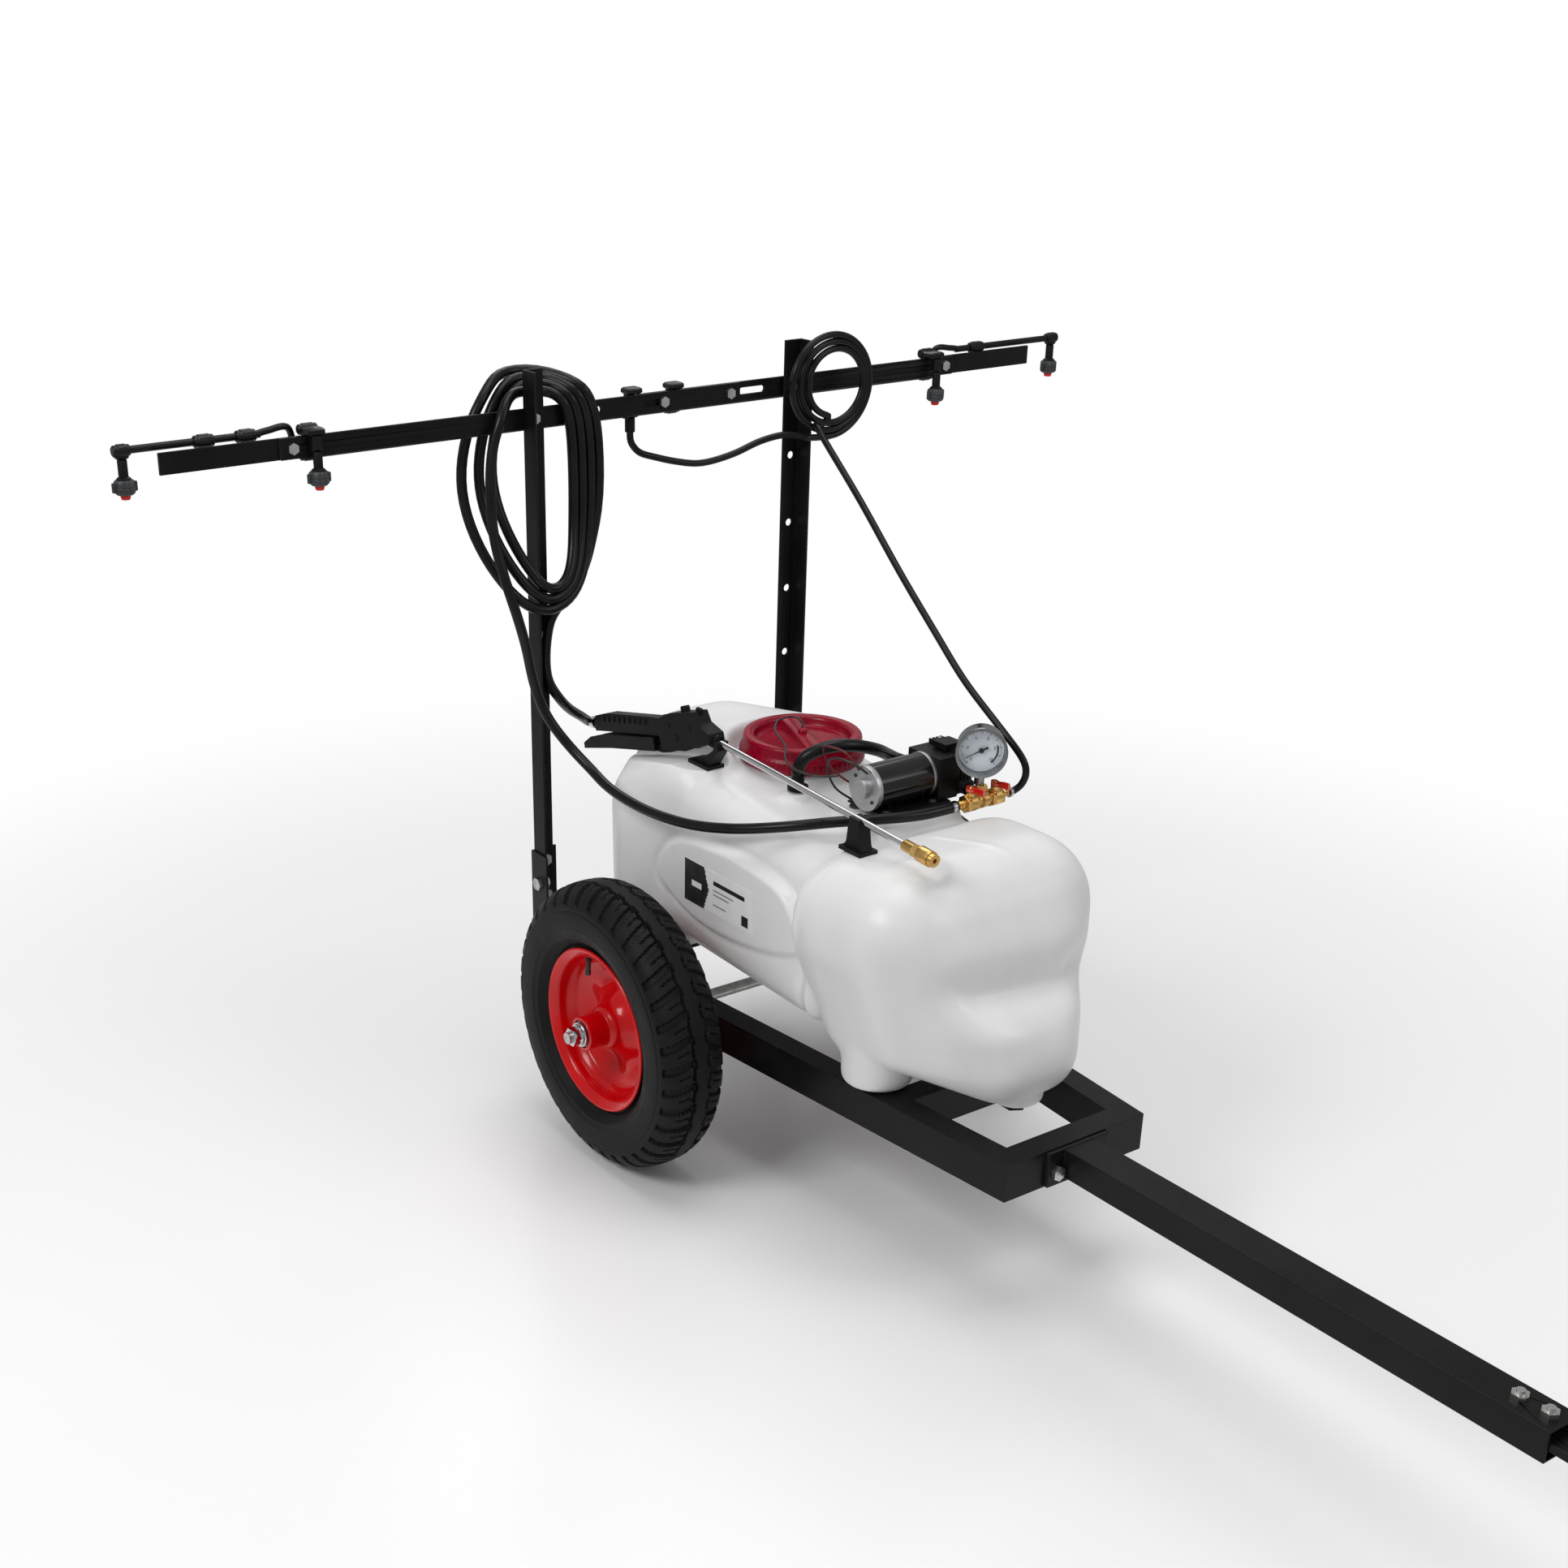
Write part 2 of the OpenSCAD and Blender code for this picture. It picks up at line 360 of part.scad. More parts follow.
STRA = [[vx,79.8,vz],[vx,60,vz],[258,24,vz-1],[246,-20,521],[216,-80,520],[178,-128,512],[120,-164,498],[62,-184,488],[10,-193,483],[-40,-199,482],[-90,-202,485],[-128,-203,491],[-162,-203,502],[-200,-214,527],[-224,-234,566],[-234,-248,612],[-228,-262,665],[-226,-276,712],[-233,-290,765],[-248,-296,820],[-258,-293,880],[-264,-284,930],[-264,-270,965],[-275,-252,988],[-284,-230,994]];
STRB = [[-262,-132,800],[-262,-146,755],[-264,-170,722],[-263,-194,700],[-262,-206,680],[-262,-212,640],[-263,-208,604],[-268,-188,574],[-286,-160,548],[-308,-128,526],[-324,-108,512],[-327,-101,507],[-319,-100,508],[-304.4,-100,511]];
NT = 3.28;
module wand_hose() org() color([0.05,0.05,0.05]) hose(concat(spline(STRA,3),[for(u=[0.02:1/22:NT]) coilp(u)],spline(STRB,3)),6,8);
// boom hose: manifold, up to the left post, three loops round it, then along to the centre tee
BH1 = [[vx,170.3,vz],[vx+1,179,vz+1],[268,188,vz+10],[272,190,548],[264,187,568],[222,182,600],[151,184,641],[84,188,690],[0,194,752],[-97,202,828],[-180,210,886],[-222,218,910],[-240,230,900]];
BH2 = [[-237,216,891],[-252,190,897],[-264,152,890],[-270,110,876],[-276,60,868],[-280,20,874],[-285,-16,884],[-288,-38,892],[-290,-50,906],[-290,-52,919.6]];
module boom_hose() org() color([0.05,0.05,0.05]) hose(concat(spline(BH1,4),[for(u=[0.5:1/20:3.5]) loopp(u)],spline(BH2,4)),4.75,8);
function loopp(u) = let(t=u*360, k=u-0.5, a=46+10*k, b=44+9.8*k) [-236, 262+a*sin(t)-4*k, 962+b*cos(t)];

// ---------- boom ----------
xb1 = px0-bar_t; xb2 = px0-2*bar_t;
module slot(y0,y1,z,x) hull() { for(y=[y0,y1]) translate([x-3,y,z]) rotate([0,90,0]) cylinder(h=12,r=4.6,$fn=24); }
module boom_bar_right() org() color([0.07,0.07,0.075]) difference() {
  bx(xb1,px0,bc-fold_y-16,bc+152,boom_z-bar_h/2,boom_z+bar_h/2);
  slot(-126,-112,boom_z,xb1); slot(-34,-6,boom_z,xb1);
  for(y=[106,-bolt_y,bc-fold_y]) translate([xb1-2,y,boom_z]) rotate([0,90,0]) cylinder(h=8,r=4.25);
}
module boom_bar_left() org() color([0.07,0.07,0.075]) difference() {
  bx(xb2,xb1,bc-18,bc+fold_y+16,boom_z-bar_h/2,boom_z+bar_h/2);
  slot(130,165,boom_z,xb2);
  for(y=[-6,106,bolt_y,bc+fold_y]) translate([xb2-2,y,boom_z]) rotate([0,90,0]) cylinder(h=8,r=4.25);
}
xa = xb2-bar_t;
module boom_bolts() org() color([0.72,0.72,0.7]) {
  for(y=[-6,106]) translate([px0,y,boom_z]) rotate([0,-90,0]) bolt(8,4,13,5,tail=2);
  translate([px0+lt,-bolt_y,boom_z]) rotate([0,-90,0]) bolt(lt+bar_t,4,13,5,tail=2);
  translate([px0+lt,bolt_y,boom_z]) rotate([0,-90,0]) bolt(lt+8,4,13,5,tail=2);
  // spacer between the left post and its bar
  difference() { cy([px0,bolt_y,boom_z],[xb1,bolt_y,boom_z],9); cy([px0+1,bolt_y,boom_z],[xb1-1,bolt_y,boom_z],4.25); }
  for(s=[-1,1]) { x0 = s<0?px0:xb1; translate([x0,bc+s*fold_y,boom_z]) rotate([0,-90,0]) bolt(bar_t*2+0.1,4,13,5,tail=2); }
}
// fold-out arms: each overlaps its bar behind the pivot bolt
module arm(s) { x1 = (s<0?xb1:xb2)-0.05; x0=x1-bar_t;
  color([0.05,0.05,0.05]) difference() {
    bx(x0,x1,s>0?bc+fold_y-15:bc-fold_y-arm_l,s>0?bc+fold_y+arm_l:bc-fold_y+15,boom_z-bar_h/2,boom_z+bar_h/2);
    translate([x0-1,bc+s*fold_y,boom_z]) rotate([0,90,0]) cylinder(h=bar_t+2,r=4.05);
  }
}
module arm_right() org() arm(-1);
module arm_left() org() arm(1);
// one drop nozzle at (x,y): saddle on the bar, elbow, cap and coloured tip
module drop(x,y,z) {
  translate([x,y,z]) cylinder(h=24,r=6,$fn=32);
  translate([x,y,z-17]) cylinder(h=17.5,r=12,$fn=32);
  translate([x,y,z-23]) cylinder(h=6.5,r=6,$fn=32);
}
ln = px0+8; // line of the drop bodies in front of the bars
module nozzles_inner() org() color([0.12,0.13,0.14]) {
  drop(ln+3,bc-505,boom_z-29); drop(ln+3,bc+505,boom_z-29);
  translate([xb1-10,-52,boom_z-38]) cylinder(h=19.6,r=7,$fn=32);
}
module nozzle_right() org() color([0.12,0.13,0.14]) drop(xa-7,bc-fold_y-arm_l-40,boom_z-16);
module nozzle_left() org() color([0.12,0.13,0.14]) drop(xa-7,bc+fold_y+arm_l+57,boom_z-16);
// spray line behind the lower half of the bars, with saddles over the top edge
lz2 = boom_z+bar_h/2+5.2;
slx = xb2-6.2; slz = boom_z-13.2;
module spray_line() org() color([0.04,0.04,0.04]) {
  cy([slx,bc-fold_y+30,slz],[slx,bc+fold_y-30,slz],4.8,24);
  for(y=[bc-505,bc+505]) { bx(slx-6,px0+14,y-13,y+13,lz2-4.6,lz2+5); bx(px0+4.2,px0+14,y-7,y+7,boom_z-4,lz2-4); }
  for(y=[-52,bc+45]) bx(slx-6,px0+1,y-13,y+13,lz2-4.6,lz2+4);
  for(y=[bc-505,-52,bc+45,bc+505]) bx(slx-6,slx+4.6,y-7,y+7,slz-3,lz2-4);
}
module line_right() org() color([0.04,0.04,0.04]) { cy([xa-7,bc-fold_y-34,lz2],[xa-7,bc-fold_y-arm_l-40,lz2],4.8,24); bx(xa-14,xa-0.5,bc-fold_y-arm_l-50,bc-fold_y-arm_l-30,boom_z+8.2,lz2+6); for(o=[40,95]) bx(xa-12,xa+4,bc-fold_y-o-26,bc-fold_y-o,lz2-4.8,lz2+5.5); }
module line_left() org() color([0.04,0.04,0.04]) { cy([xa-7,bc+fold_y+34,lz2],[xa-7,bc+fold_y+arm_l+57,lz2],4.8,24); bx(xa-14,xa-0.5,bc+fold_y+arm_l+47,bc+fold_y+arm_l+67,boom_z+8.2,lz2+6); }

// ---------- gun ----------
gy = -100;
module gpoly(w,P) translate([0,gy-w,0]) rotate([90,0,0]) mirror([0,0,1]) linear_extrude(2*w) polygon(P);
module gun_body() org() color([0.06,0.06,0.06]) difference() {
  union() {
    gpoly(9,[[-296,503],[-298,525],[-267,537],[-133,567],[-120,560],[-120,543],[-131,541],[-224,520]]);
    gpoly(12.5,[[-150,546],[-150,564],[-133,567],[-108,581],[-53,597],[-43,583],[-16,576],[-12,566],[-38,553],[-68,538],[-125,525],[-130,541]]);
    cy([-290,gy,513.6],[-303,gy,511.2],8);
  }
  cy([-34,gy,566.24],[0,gy,564.39],4.6,32);
  // pocket for the lever's root
  translate([-140,gy-7.5,515]) cube([82,15,44]);
  translate([-92,gy-20,550]) rotate([-90,0,0]) cylinder(h=40,r=2.55,$fn=32);
}
// lever: a channel whose sides pass either side of the grip
module gun_trigger() org() color([0.07,0.07,0.07]) {
  difference() {
    gpoly(12.6,[[-321,470],[-323,478],[-305,492],[-277,503],[-225,515.5],[-146,535],[-141,517],[-251,490]]);
    translate([0,0,3.2]) gpoly(9.3,[[-400,447.9],[-400,560],[-139,560],[-139,517.8],[-251,490],[-321,470]]);
  }
  gpoly(7.2,[[-146,516],[-150,519],[-126,534],[-104,546],[-98,555],[-88,555],[-83,548],[-90,536],[-108,524],[-130,517.2]]);
  translate([-92,gy-11.9,550]) rotate([-90,0,0]) cylinder(h=23.8,r=2.5,$fn=32);
}
LE = [372,gy,544.14];
lv = unit([390,0,-21.22]);
module lance() org() color([0.75,0.75,0.77]) cy([-33,gy,566.18],LE,4.4,32);
module lance_nozzle() org() color([0.75,0.52,0.2]) difference() {
  union() { cy(LE-lv*2,LE+lv*16,7.5,32); cy(LE+lv*15.9,LE+lv*26,9,6); cy(LE+lv*25.9,LE+lv*46,10,48); cy(LE+lv*45.9,LE+lv*52,8.2,48); }
  cy(LE-lv*10,LE+lv*0.6,4.45,32);
  cy(LE+lv*44,LE+lv*60,3,32);
}
function lanz(x) = 566.18-(x+33)*0.05441;
module gun_clips() org() color([0.05,0.05,0.05]) difference() {
  union() {
    bx(-60,-15,gy-14,gy+14,526,531);
    gpoly(9,[[-54,530],[-18,530],[0,556],[0,lanz(0)+3.5],[-9,lanz(-9)+3.5],[-9,556],[-26,543],[-44,537]]);
    bx(263,305,gy-14,gy+14,508,513);
    gpoly(9,[[266,512],[302,512],[298,520],[293,lanz(292)+3.5],[275,lanz(275)+3.5],[271,520]]);
  }
  cy([-33,gy,lanz(-33)],[400,gy,lanz(400)],4.5,32);
  for(x=[-20,260]) translate([x,gy-3.2,lanz(x+20)]) cube([50,6.4,20]);
}

main_frame();
rail_caps();
drawbar();
hitch_tongue();
frame_bolts();
axle();
axle_nuts();
wheel_bearings();
post_right();
post_left();
tank();
label();
drain_plug();
strainer();
suction_fitting();
pickup_tube();
tyre_right();
tyre_left();
tube_right();
tube_left();
rim_right();
rim_left();
lid();
lid_gasket();
lid_tether();
suction_hose();
pump_motor();
pump_caps();
pump_rotor();
pump_head();
pump_base();
pump_feet();
pump_wires();
manifold();
hose_clamps();
valve_a();
valve_b();
gauge_case();
gauge_dial();
gauge_needle();
gauge_lens();
wand_hose();
boom_hose();
boom_bar_right();
boom_bar_left();
boom_bolts();
arm_right();
arm_left();
nozzles_inner();
nozzle_right();
nozzle_left();
spray_line();
line_right();
line_left();
gun_body();
gun_trigger();
lance();
lance_nozzle();
gun_clips();
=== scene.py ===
import bpy, bmesh, math
import numpy as np
from mathutils import Vector, Matrix
from mathutils.bvhtree import BVHTree


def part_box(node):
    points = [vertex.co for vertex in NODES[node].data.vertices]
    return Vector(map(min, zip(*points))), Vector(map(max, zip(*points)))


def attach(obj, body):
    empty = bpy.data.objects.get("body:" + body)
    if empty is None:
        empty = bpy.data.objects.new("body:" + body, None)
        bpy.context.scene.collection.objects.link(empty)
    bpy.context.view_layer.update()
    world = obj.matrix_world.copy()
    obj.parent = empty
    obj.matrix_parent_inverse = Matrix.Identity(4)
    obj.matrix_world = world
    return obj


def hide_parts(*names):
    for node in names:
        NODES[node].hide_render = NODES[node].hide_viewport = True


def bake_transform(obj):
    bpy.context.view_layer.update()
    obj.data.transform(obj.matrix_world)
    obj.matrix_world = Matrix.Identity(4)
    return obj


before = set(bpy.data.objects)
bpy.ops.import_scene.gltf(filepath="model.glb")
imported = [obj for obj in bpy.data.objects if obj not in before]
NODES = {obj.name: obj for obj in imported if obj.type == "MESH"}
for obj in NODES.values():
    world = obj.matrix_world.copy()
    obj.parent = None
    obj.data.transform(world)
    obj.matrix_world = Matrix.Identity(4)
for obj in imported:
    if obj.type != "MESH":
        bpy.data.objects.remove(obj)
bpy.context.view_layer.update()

# the shapes below are drawn about the middle of the axle; this carries them into the shared frame
_a, _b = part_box("axle")
OFF = Vector(((_a[0] + _b[0]) / 2, (_a[1] + _b[1]) / 2, 0.0))

# ------------------------------------------------------------------ materials
def mat(name, c1, c2=None, rough=(0.35, 0.5), metal=0.0, vscale=12.0, bump=0.0, bscale=300.0,
        spec=0.5, coat=0.0, trans=0.0, ior=1.45, sss=0.0, streak=None, edge_highlight=None, alpha=1.0, speck=None):
    c2 = c2 or tuple(x * 0.8 for x in c1)
    m = bpy.data.materials.new(name)
    m.use_nodes = True
    nt = m.node_tree
    N, L = nt.nodes, nt.links
    N.clear()
    out = N.new("ShaderNodeOutputMaterial")
    b = N.new("ShaderNodeBsdfPrincipled")
    L.new(b.outputs[0], out.inputs[0])
    tc = N.new("ShaderNodeTexCoord")
    mp = N.new("ShaderNodeMapping")
    L.new(tc.outputs["Object"], mp.inputs[0])
    if streak:
        mp.inputs["Scale"].default_value = streak
    n1 = N.new("ShaderNodeTexNoise")
    n1.inputs["Scale"].default_value = vscale
    n1.inputs["Detail"].default_value = 6
    L.new(mp.outputs[0], n1.inputs["Vector"])
    ramp = N.new("ShaderNodeMix")
    ramp.data_type = "RGBA"
    ramp.inputs["A"].default_value = (*c1, 1)
    ramp.inputs["B"].default_value = (*c2, 1)
    mr = N.new("ShaderNodeMapRange")
    mr.inputs["From Min"].default_value = 0.35
    mr.inputs["From Max"].default_value = 0.7
    L.new(n1.outputs["Fac"], mr.inputs["Value"])
    L.new(mr.outputs[0], ramp.inputs["Factor"])
    col = ramp.outputs["Result"]
    n2 = N.new("ShaderNodeTexNoise")
    n2.inputs["Scale"].default_value = bscale
    n2.inputs["Detail"].default_value = 3
    L.new(tc.outputs["Object"], n2.inputs["Vector"])
    if speck:
        ms = N.new("ShaderNodeMapRange")
        ms.inputs["From Min"].default_value = 0.62
        ms.inputs["From Max"].default_value = 0.72
        ms.inputs["To Max"].default_value = 0.6
        L.new(n2.outputs["Fac"], ms.inputs["Value"])
        mx = N.new("ShaderNodeMix")
        mx.data_type = "RGBA"
        L.new(ms.outputs[0], mx.inputs["Factor"])
        L.new(col, mx.inputs["A"])
        mx.inputs["B"].default_value = (*speck, 1)
        col = mx.outputs["Result"]
    # painted highlight: convex edges, found by pointiness, are mixed toward a lighter tone of the finish
    if edge_highlight:
        g = N.new("ShaderNodeNewGeometry")
        edge_highlight_range = N.new("ShaderNodeMapRange")
        edge_highlight_range.inputs["From Min"].default_value = 0.53
        edge_highlight_range.inputs["From Max"].default_value = 0.6
        edge_highlight_range.inputs["To Max"].default_value = 0.55
        L.new(g.outputs["Pointiness"], edge_highlight_range.inputs["Value"])
        mx = N.new("ShaderNodeMix")
        mx.data_type = "RGBA"
        L.new(edge_highlight_range.outputs[0], mx.inputs["Factor"])
        L.new(col, mx.inputs["A"])
        mx.inputs["B"].default_value = (*edge_highlight, 1)
        col = mx.outputs["Result"]
    L.new(col, b.inputs["Base Color"])
    rr = N.new("ShaderNodeMapRange")
    rr.inputs["From Min"].default_value = 0.3
    rr.inputs["From Max"].default_value = 0.7
    rr.inputs["To Min"].default_value = rough[0]
    rr.inputs["To Max"].default_value = rough[1]
    L.new(n1.outputs["Fac"], rr.inputs["Value"])
    L.new(rr.outputs[0], b.inputs["Roughness"])
    b.inputs["Metallic"].default_value = metal
    b.inputs["Specular IOR Level"].default_value = spec
    b.inputs["Coat Weight"].default_value = coat
    b.inputs["Coat Roughness"].default_value = 0.08
    b.inputs["Transmission Weight"].default_value = trans
    b.inputs["IOR"].default_value = ior
    b.inputs["Alpha"].default_value = alpha
    if sss:
        b.inputs["Subsurface Weight"].default_value = sss
        b.inputs["Subsurface Radius"].default_value = (0.02, 0.02, 0.02)
        b.inputs["Subsurface Scale"].default_value = 0.3
    if bump:
        bp = N.new("ShaderNodeBump")
        bp.inputs["Strength"].default_value = bump
        bp.inputs["Distance"].default_value = 0.0006
        L.new(n2.outputs["Fac"], bp.inputs["Height"])
        L.new(bp.outputs[0], b.inputs["Normal"])
    return m

# the lighter edge tones given below to frame, tyre, rim, lid and handle are painted highlights on convex edges
M = dict(
    frame=mat("powder_black", (0.005, 0.005, 0.0055), (0.009, 0.009, 0.0095), (0.26, 0.38), bump=0.3, bscale=900, spec=0.17, edge_highlight=(0.03, 0.03, 0.03)),
    plastic=mat("moulded_black", (0.005, 0.005, 0.005), (0.01, 0.01, 0.01), (0.32, 0.46), bump=0.5, bscale=1400, spec=0.16),
    zinc=mat("zinc", (0.62, 0.62, 0.6), (0.42, 0.42, 0.41), (0.22, 0.42), metal=1.0, vscale=90, bump=0.2, bscale=1200),
    tank=mat("tank_white", (0.8, 0.8, 0.8), (0.73, 0.73, 0.735), (0.28, 0.38), vscale=9, bump=0.12, bscale=500, sss=0.12, spec=0.45, streak=(1, 1, 0.35)),
    tyre=mat("tyre_black", (0.007, 0.007, 0.007), (0.013, 0.0125, 0.012), (0.38, 0.56), vscale=25, bump=0.5, bscale=700, spec=0.14, edge_highlight=(0.018, 0.018, 0.018)),
    rim=mat("rim_red", (0.66, 0.0, 0.003), (0.5, 0.0, 0.002), (0.14, 0.24), vscale=20, bump=0.08, bscale=200, coat=0.25, spec=0.3, edge_highlight=(0.7, 0.05, 0.05)),
    lid=mat("lid_red", (0.27, 0.0, 0.016), (0.19, 0.0, 0.012), (0.2, 0.32), vscale=30, bump=0.15, bscale=600, coat=0.0, spec=0.28, edge_highlight=(0.34, 0.01, 0.04)),
    hose=mat("hose_black", (0.004, 0.004, 0.004), (0.008, 0.008, 0.008), (0.2, 0.3), vscale=30, bump=0.2, bscale=1100, spec=0.28),
    gloss=mat("gloss_black", (0.006, 0.006, 0.006), (0.01, 0.01, 0.01), (0.12, 0.2), vscale=15, bump=0.05, bscale=300, coat=0.25, spec=0.3),
    silver=mat("cast_silver", (0.5, 0.5, 0.51), (0.42, 0.42, 0.43), (0.35, 0.45), metal=0.9, vscale=60, bump=0.3, bscale=900),
    copper=mat("winding", (0.45, 0.2, 0.09), (0.3, 0.13, 0.06), (0.35, 0.5), metal=0.8, vscale=80, bump=0.4, bscale=1500),
    brass=mat("brass", (0.78, 0.5, 0.17), (0.6, 0.36, 0.11), (0.18, 0.32), metal=1.0, vscale=70, bump=0.15, bscale=900),
    handle=mat("handle_red", (0.68, 0.012, 0.008), (0.5, 0.008, 0.006), (0.22, 0.35), vscale=60, bump=0.1, bscale=500, coat=0.4, edge_highlight=(0.9, 0.3, 0.2)),
    chrome=mat("chrome", (0.7, 0.7, 0.72), (0.6, 0.6, 0.62), (0.08, 0.18), metal=1.0, vscale=50, bump=0.04, bscale=400),
    gauge=mat("gauge_grey", (0.3, 0.31, 0.32), (0.22, 0.23, 0.24), (0.14, 0.25), metal=1.0, vscale=50, bump=0.05, bscale=400),
    dial=mat("dial_white", (0.88, 0.93, 0.98), (0.84, 0.9, 0.96), (0.4, 0.5), vscale=60, bump=0.03),
    ink=mat("ink_black", (0.012, 0.012, 0.014), (0.025, 0.025, 0.028), (0.35, 0.45), vscale=80, bump=0.05),
    paper=mat("label_white", (0.86, 0.86, 0.87), (0.8, 0.8, 0.81), (0.25, 0.35), vscale=60, bump=0.03),
    grey=mat("print_grey", (0.2, 0.2, 0.21), (0.3, 0.3, 0.31), (0.35, 0.45), vscale=120, bump=0.03),
    tip=mat("tip_red", (0.7, 0.02, 0.015), (0.55, 0.015, 0.01), (0.25, 0.35), vscale=80, bump=0.1),
    capgrey=mat("nozzle_grey", (0.028, 0.03, 0.032), (0.05, 0.052, 0.055), (0.4, 0.52), vscale=60, bump=0.3, bscale=1200),
    glass=mat("lens_glass", (0.95, 0.98, 1.0), (0.93, 0.97, 1.0), (0.02, 0.05), trans=1.0, ior=1.2, vscale=20, alpha=0.22),
    wire_b=mat("wire_black", (0.012, 0.012, 0.012), (0.022, 0.022, 0.022), (0.3, 0.4), vscale=50, bump=0.1),
    wire_r=mat("wire_red", (0.12, 0.004, 0.005), (0.07, 0.003, 0.004), (0.3, 0.4), vscale=50, bump=0.1),
    mesh=mat("strainer_white", (0.72, 0.72, 0.68), (0.62, 0.62, 0.58), (0.4, 0.55), vscale=60, bump=0.4, bscale=1600),
    tube=mat("tube_rubber", (0.018, 0.018, 0.018), (0.03, 0.03, 0.03), (0.5, 0.65), vscale=30, bump=0.3, bscale=800),
)

# ------------------------------------------------------------------ mesh builder, authored in mm
def vec(*a): return np.array(a, float)
def un(v): v = np.asarray(v, float); return v / np.linalg.norm(v)
def axes(Z):
    Z = un(Z); t = vec(1, 0, 0) if abs(Z[0]) < 0.8 else vec(0, 1, 0)
    X = un(np.cross(t, Z)); return X, np.cross(Z, X), Z

class MB:
    def __init__(s): s.v, s.f, s.m = [], [], []
    def add(s, V, F, mi=0):
        o = len(s.v)
        s.v += [tuple(map(float, p)) for p in V]
        s.f += [tuple(int(i) + o for i in f) for f in F]
        s.m += [mi] * len(F)
    def sweep(s, P, r, k=16, mi=0, flat=1.0):
        P = np.asarray(P, float)
        n = len(P); r = np.broadcast_to(np.asarray(r, float), (n,))
        T = np.gradient(P, axis=0); T /= np.linalg.norm(T, axis=1)[:, None]
        X, _, _ = axes(T[0]); V = []
        a = np.arange(k) * 2 * np.pi / k
        for i in range(n):
            X = un(X - (X @ T[i]) * T[i]); Y = np.cross(T[i], X)
            V.append(P[i] + r[i] * (np.cos(a)[:, None] * X + flat * np.sin(a)[:, None] * Y))
        V = np.concatenate(V)
        F = [(i * k + j, i * k + (j + 1) % k, (i + 1) * k + (j + 1) % k, (i + 1) * k + j) for i in range(n - 1) for j in range(k)]
        F += [tuple(range(k))[::-1], tuple((n - 1) * k + j for j in range(k))]
        s.add(V, F, mi)
    def lathe(s, prof, org, Z, n=48, mi=0, closed=False, mod=None, XY=None):
        X, Y, Z = axes(Z)
        if XY is not None: X, Y = un(XY[0]), un(XY[1])
        prof = np.asarray(prof, float); k = len(prof); org = np.asarray(org, float)
        V = []
        for i in range(n):
            a = 2 * np.pi * i / n
            r, z = prof[:, 0], prof[:, 1]
            if mod is not None: r, z = mod(r, z, a)
            V.append(org + r[:, None] * (math.cos(a) * X + math.sin(a) * Y) + z[:, None] * Z)
        V = np.concatenate(V)
        kk = k if closed else k - 1
        F = [(i * k + j, i * k + (j + 1) % k, ((i + 1) % n) * k + (j + 1) % k, ((i + 1) % n) * k + j) for i in range(n) for j in range(kk)]
        s.add(V, F, mi)
    def cyl(s, p, q, r, n=32, c=0.6, mi=0, r2=None):
        p, q = np.asarray(p, float), np.asarray(q, float); h = np.linalg.norm(q - p); r2 = r if r2 is None else r2
        s.lathe([(0, 0), (r - c, 0), (r, c), (r2, h - c), (r2 - c, h), (0, h)], p, q - p, n, mi)
    def ring(s, p, q, r1, r2, n=40, mi=0):
        p, q = np.asarray(p, float), np.asarray(q, float); h = np.linalg.norm(q - p)
        s.lathe([(r2, 0), (r1, 0), (r1, h), (r2, h)], p, q - p, n, mi, closed=True)
    def box(s, lo, hi, mi=0, b=0.8):
        x0, y0, z0 = lo; x1, y1, z1 = hi
        b = min(b, (x1 - x0) / 3, (y1 - y0) / 3, (z1 - z0) / 3)
        V = []
        for z, i in ((z0, b), (z0 + b, 0), (z1 - b, 0), (z1, b)):
            for (x, y) in ((x0 + i + b, y0 + i), (x1 - i - b, y0 + i), (x1 - i, y0 + i + b), (x1 - i, y1 - i - b), (x1 - i - b, y1 - i), (x0 + i + b, y1 - i), (x0 + i, y1 - i - b), (x0 + i, y0 + i + b)):
                V.append((x, y, z))
        F = [(i * 8 + j, i * 8 + (j + 1) % 8, (i + 1) * 8 + (j + 1) % 8, (i + 1) * 8 + j) for i in range(3) for j in range(8)]
        F += [tuple(range(8))[::-1], tuple(24 + j for j in range(8))]
        s.add(V, F, mi)
    def prism(s, poly, y0, y1, mi=0):
        k = len(poly)
        V = [(x, y0, z) for x, z in poly] + [(x, y1, z) for x, z in poly]
        F = [tuple(range(k)), tuple(range(k, 2 * k))[::-1]] + [(i, (i + 1) % k, k + (i + 1) % k, k + i) for i in range(k)]
        s.add(V, F, mi)
    def done(s, name, mats, sharp=38, bevel=0.0, seg=3, sub=0):
        me = bpy.data.meshes.new(name)
        me.from_pydata([(x * 0.001 + OFF.x, y * 0.001 + OFF.y, z * 0.001) for x, y, z in s.v], [], s.f)
        for m in mats: me.materials.append(M[m])
        me.polygons.foreach_set("material_index", s.m)
        bm = bmesh.new(); bm.from_mesh(me)
        bmesh.ops.remove_doubles(bm, verts=bm.verts, dist=2e-6)
        bmesh.ops.dissolve_degenerate(bm, edges=bm.edges, dist=1e-7)
        bmesh.ops.recalc_face_normals(bm, faces=bm.faces)
        bm.to_mesh(me); bm.free()
        for p in me.polygons: p.use_smooth = True
        me.set_sharp_from_angle(angle=math.radians(sharp))
        o = bpy.data.objects.new(name, me)
        bpy.context.scene.collection.objects.link(o)
        if bevel:
            bv = o.modifiers.new("bevel", "BEVEL"); bv.width = bevel * 0.001; bv.segments = seg; bv.limit_method = "ANGLE"; bv.angle_limit = math.radians(30)
        if sub:
            sb = o.modifiers.new("sub", "SUBSURF"); sb.levels = sub; sb.render_levels = sub
        return o

def put(mb, name, body, mats, replaces=(), slot=None, **k):
    o = mb.done(name, mats, **k)
    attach(o, body)
    if replaces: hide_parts(*replaces)
    return o

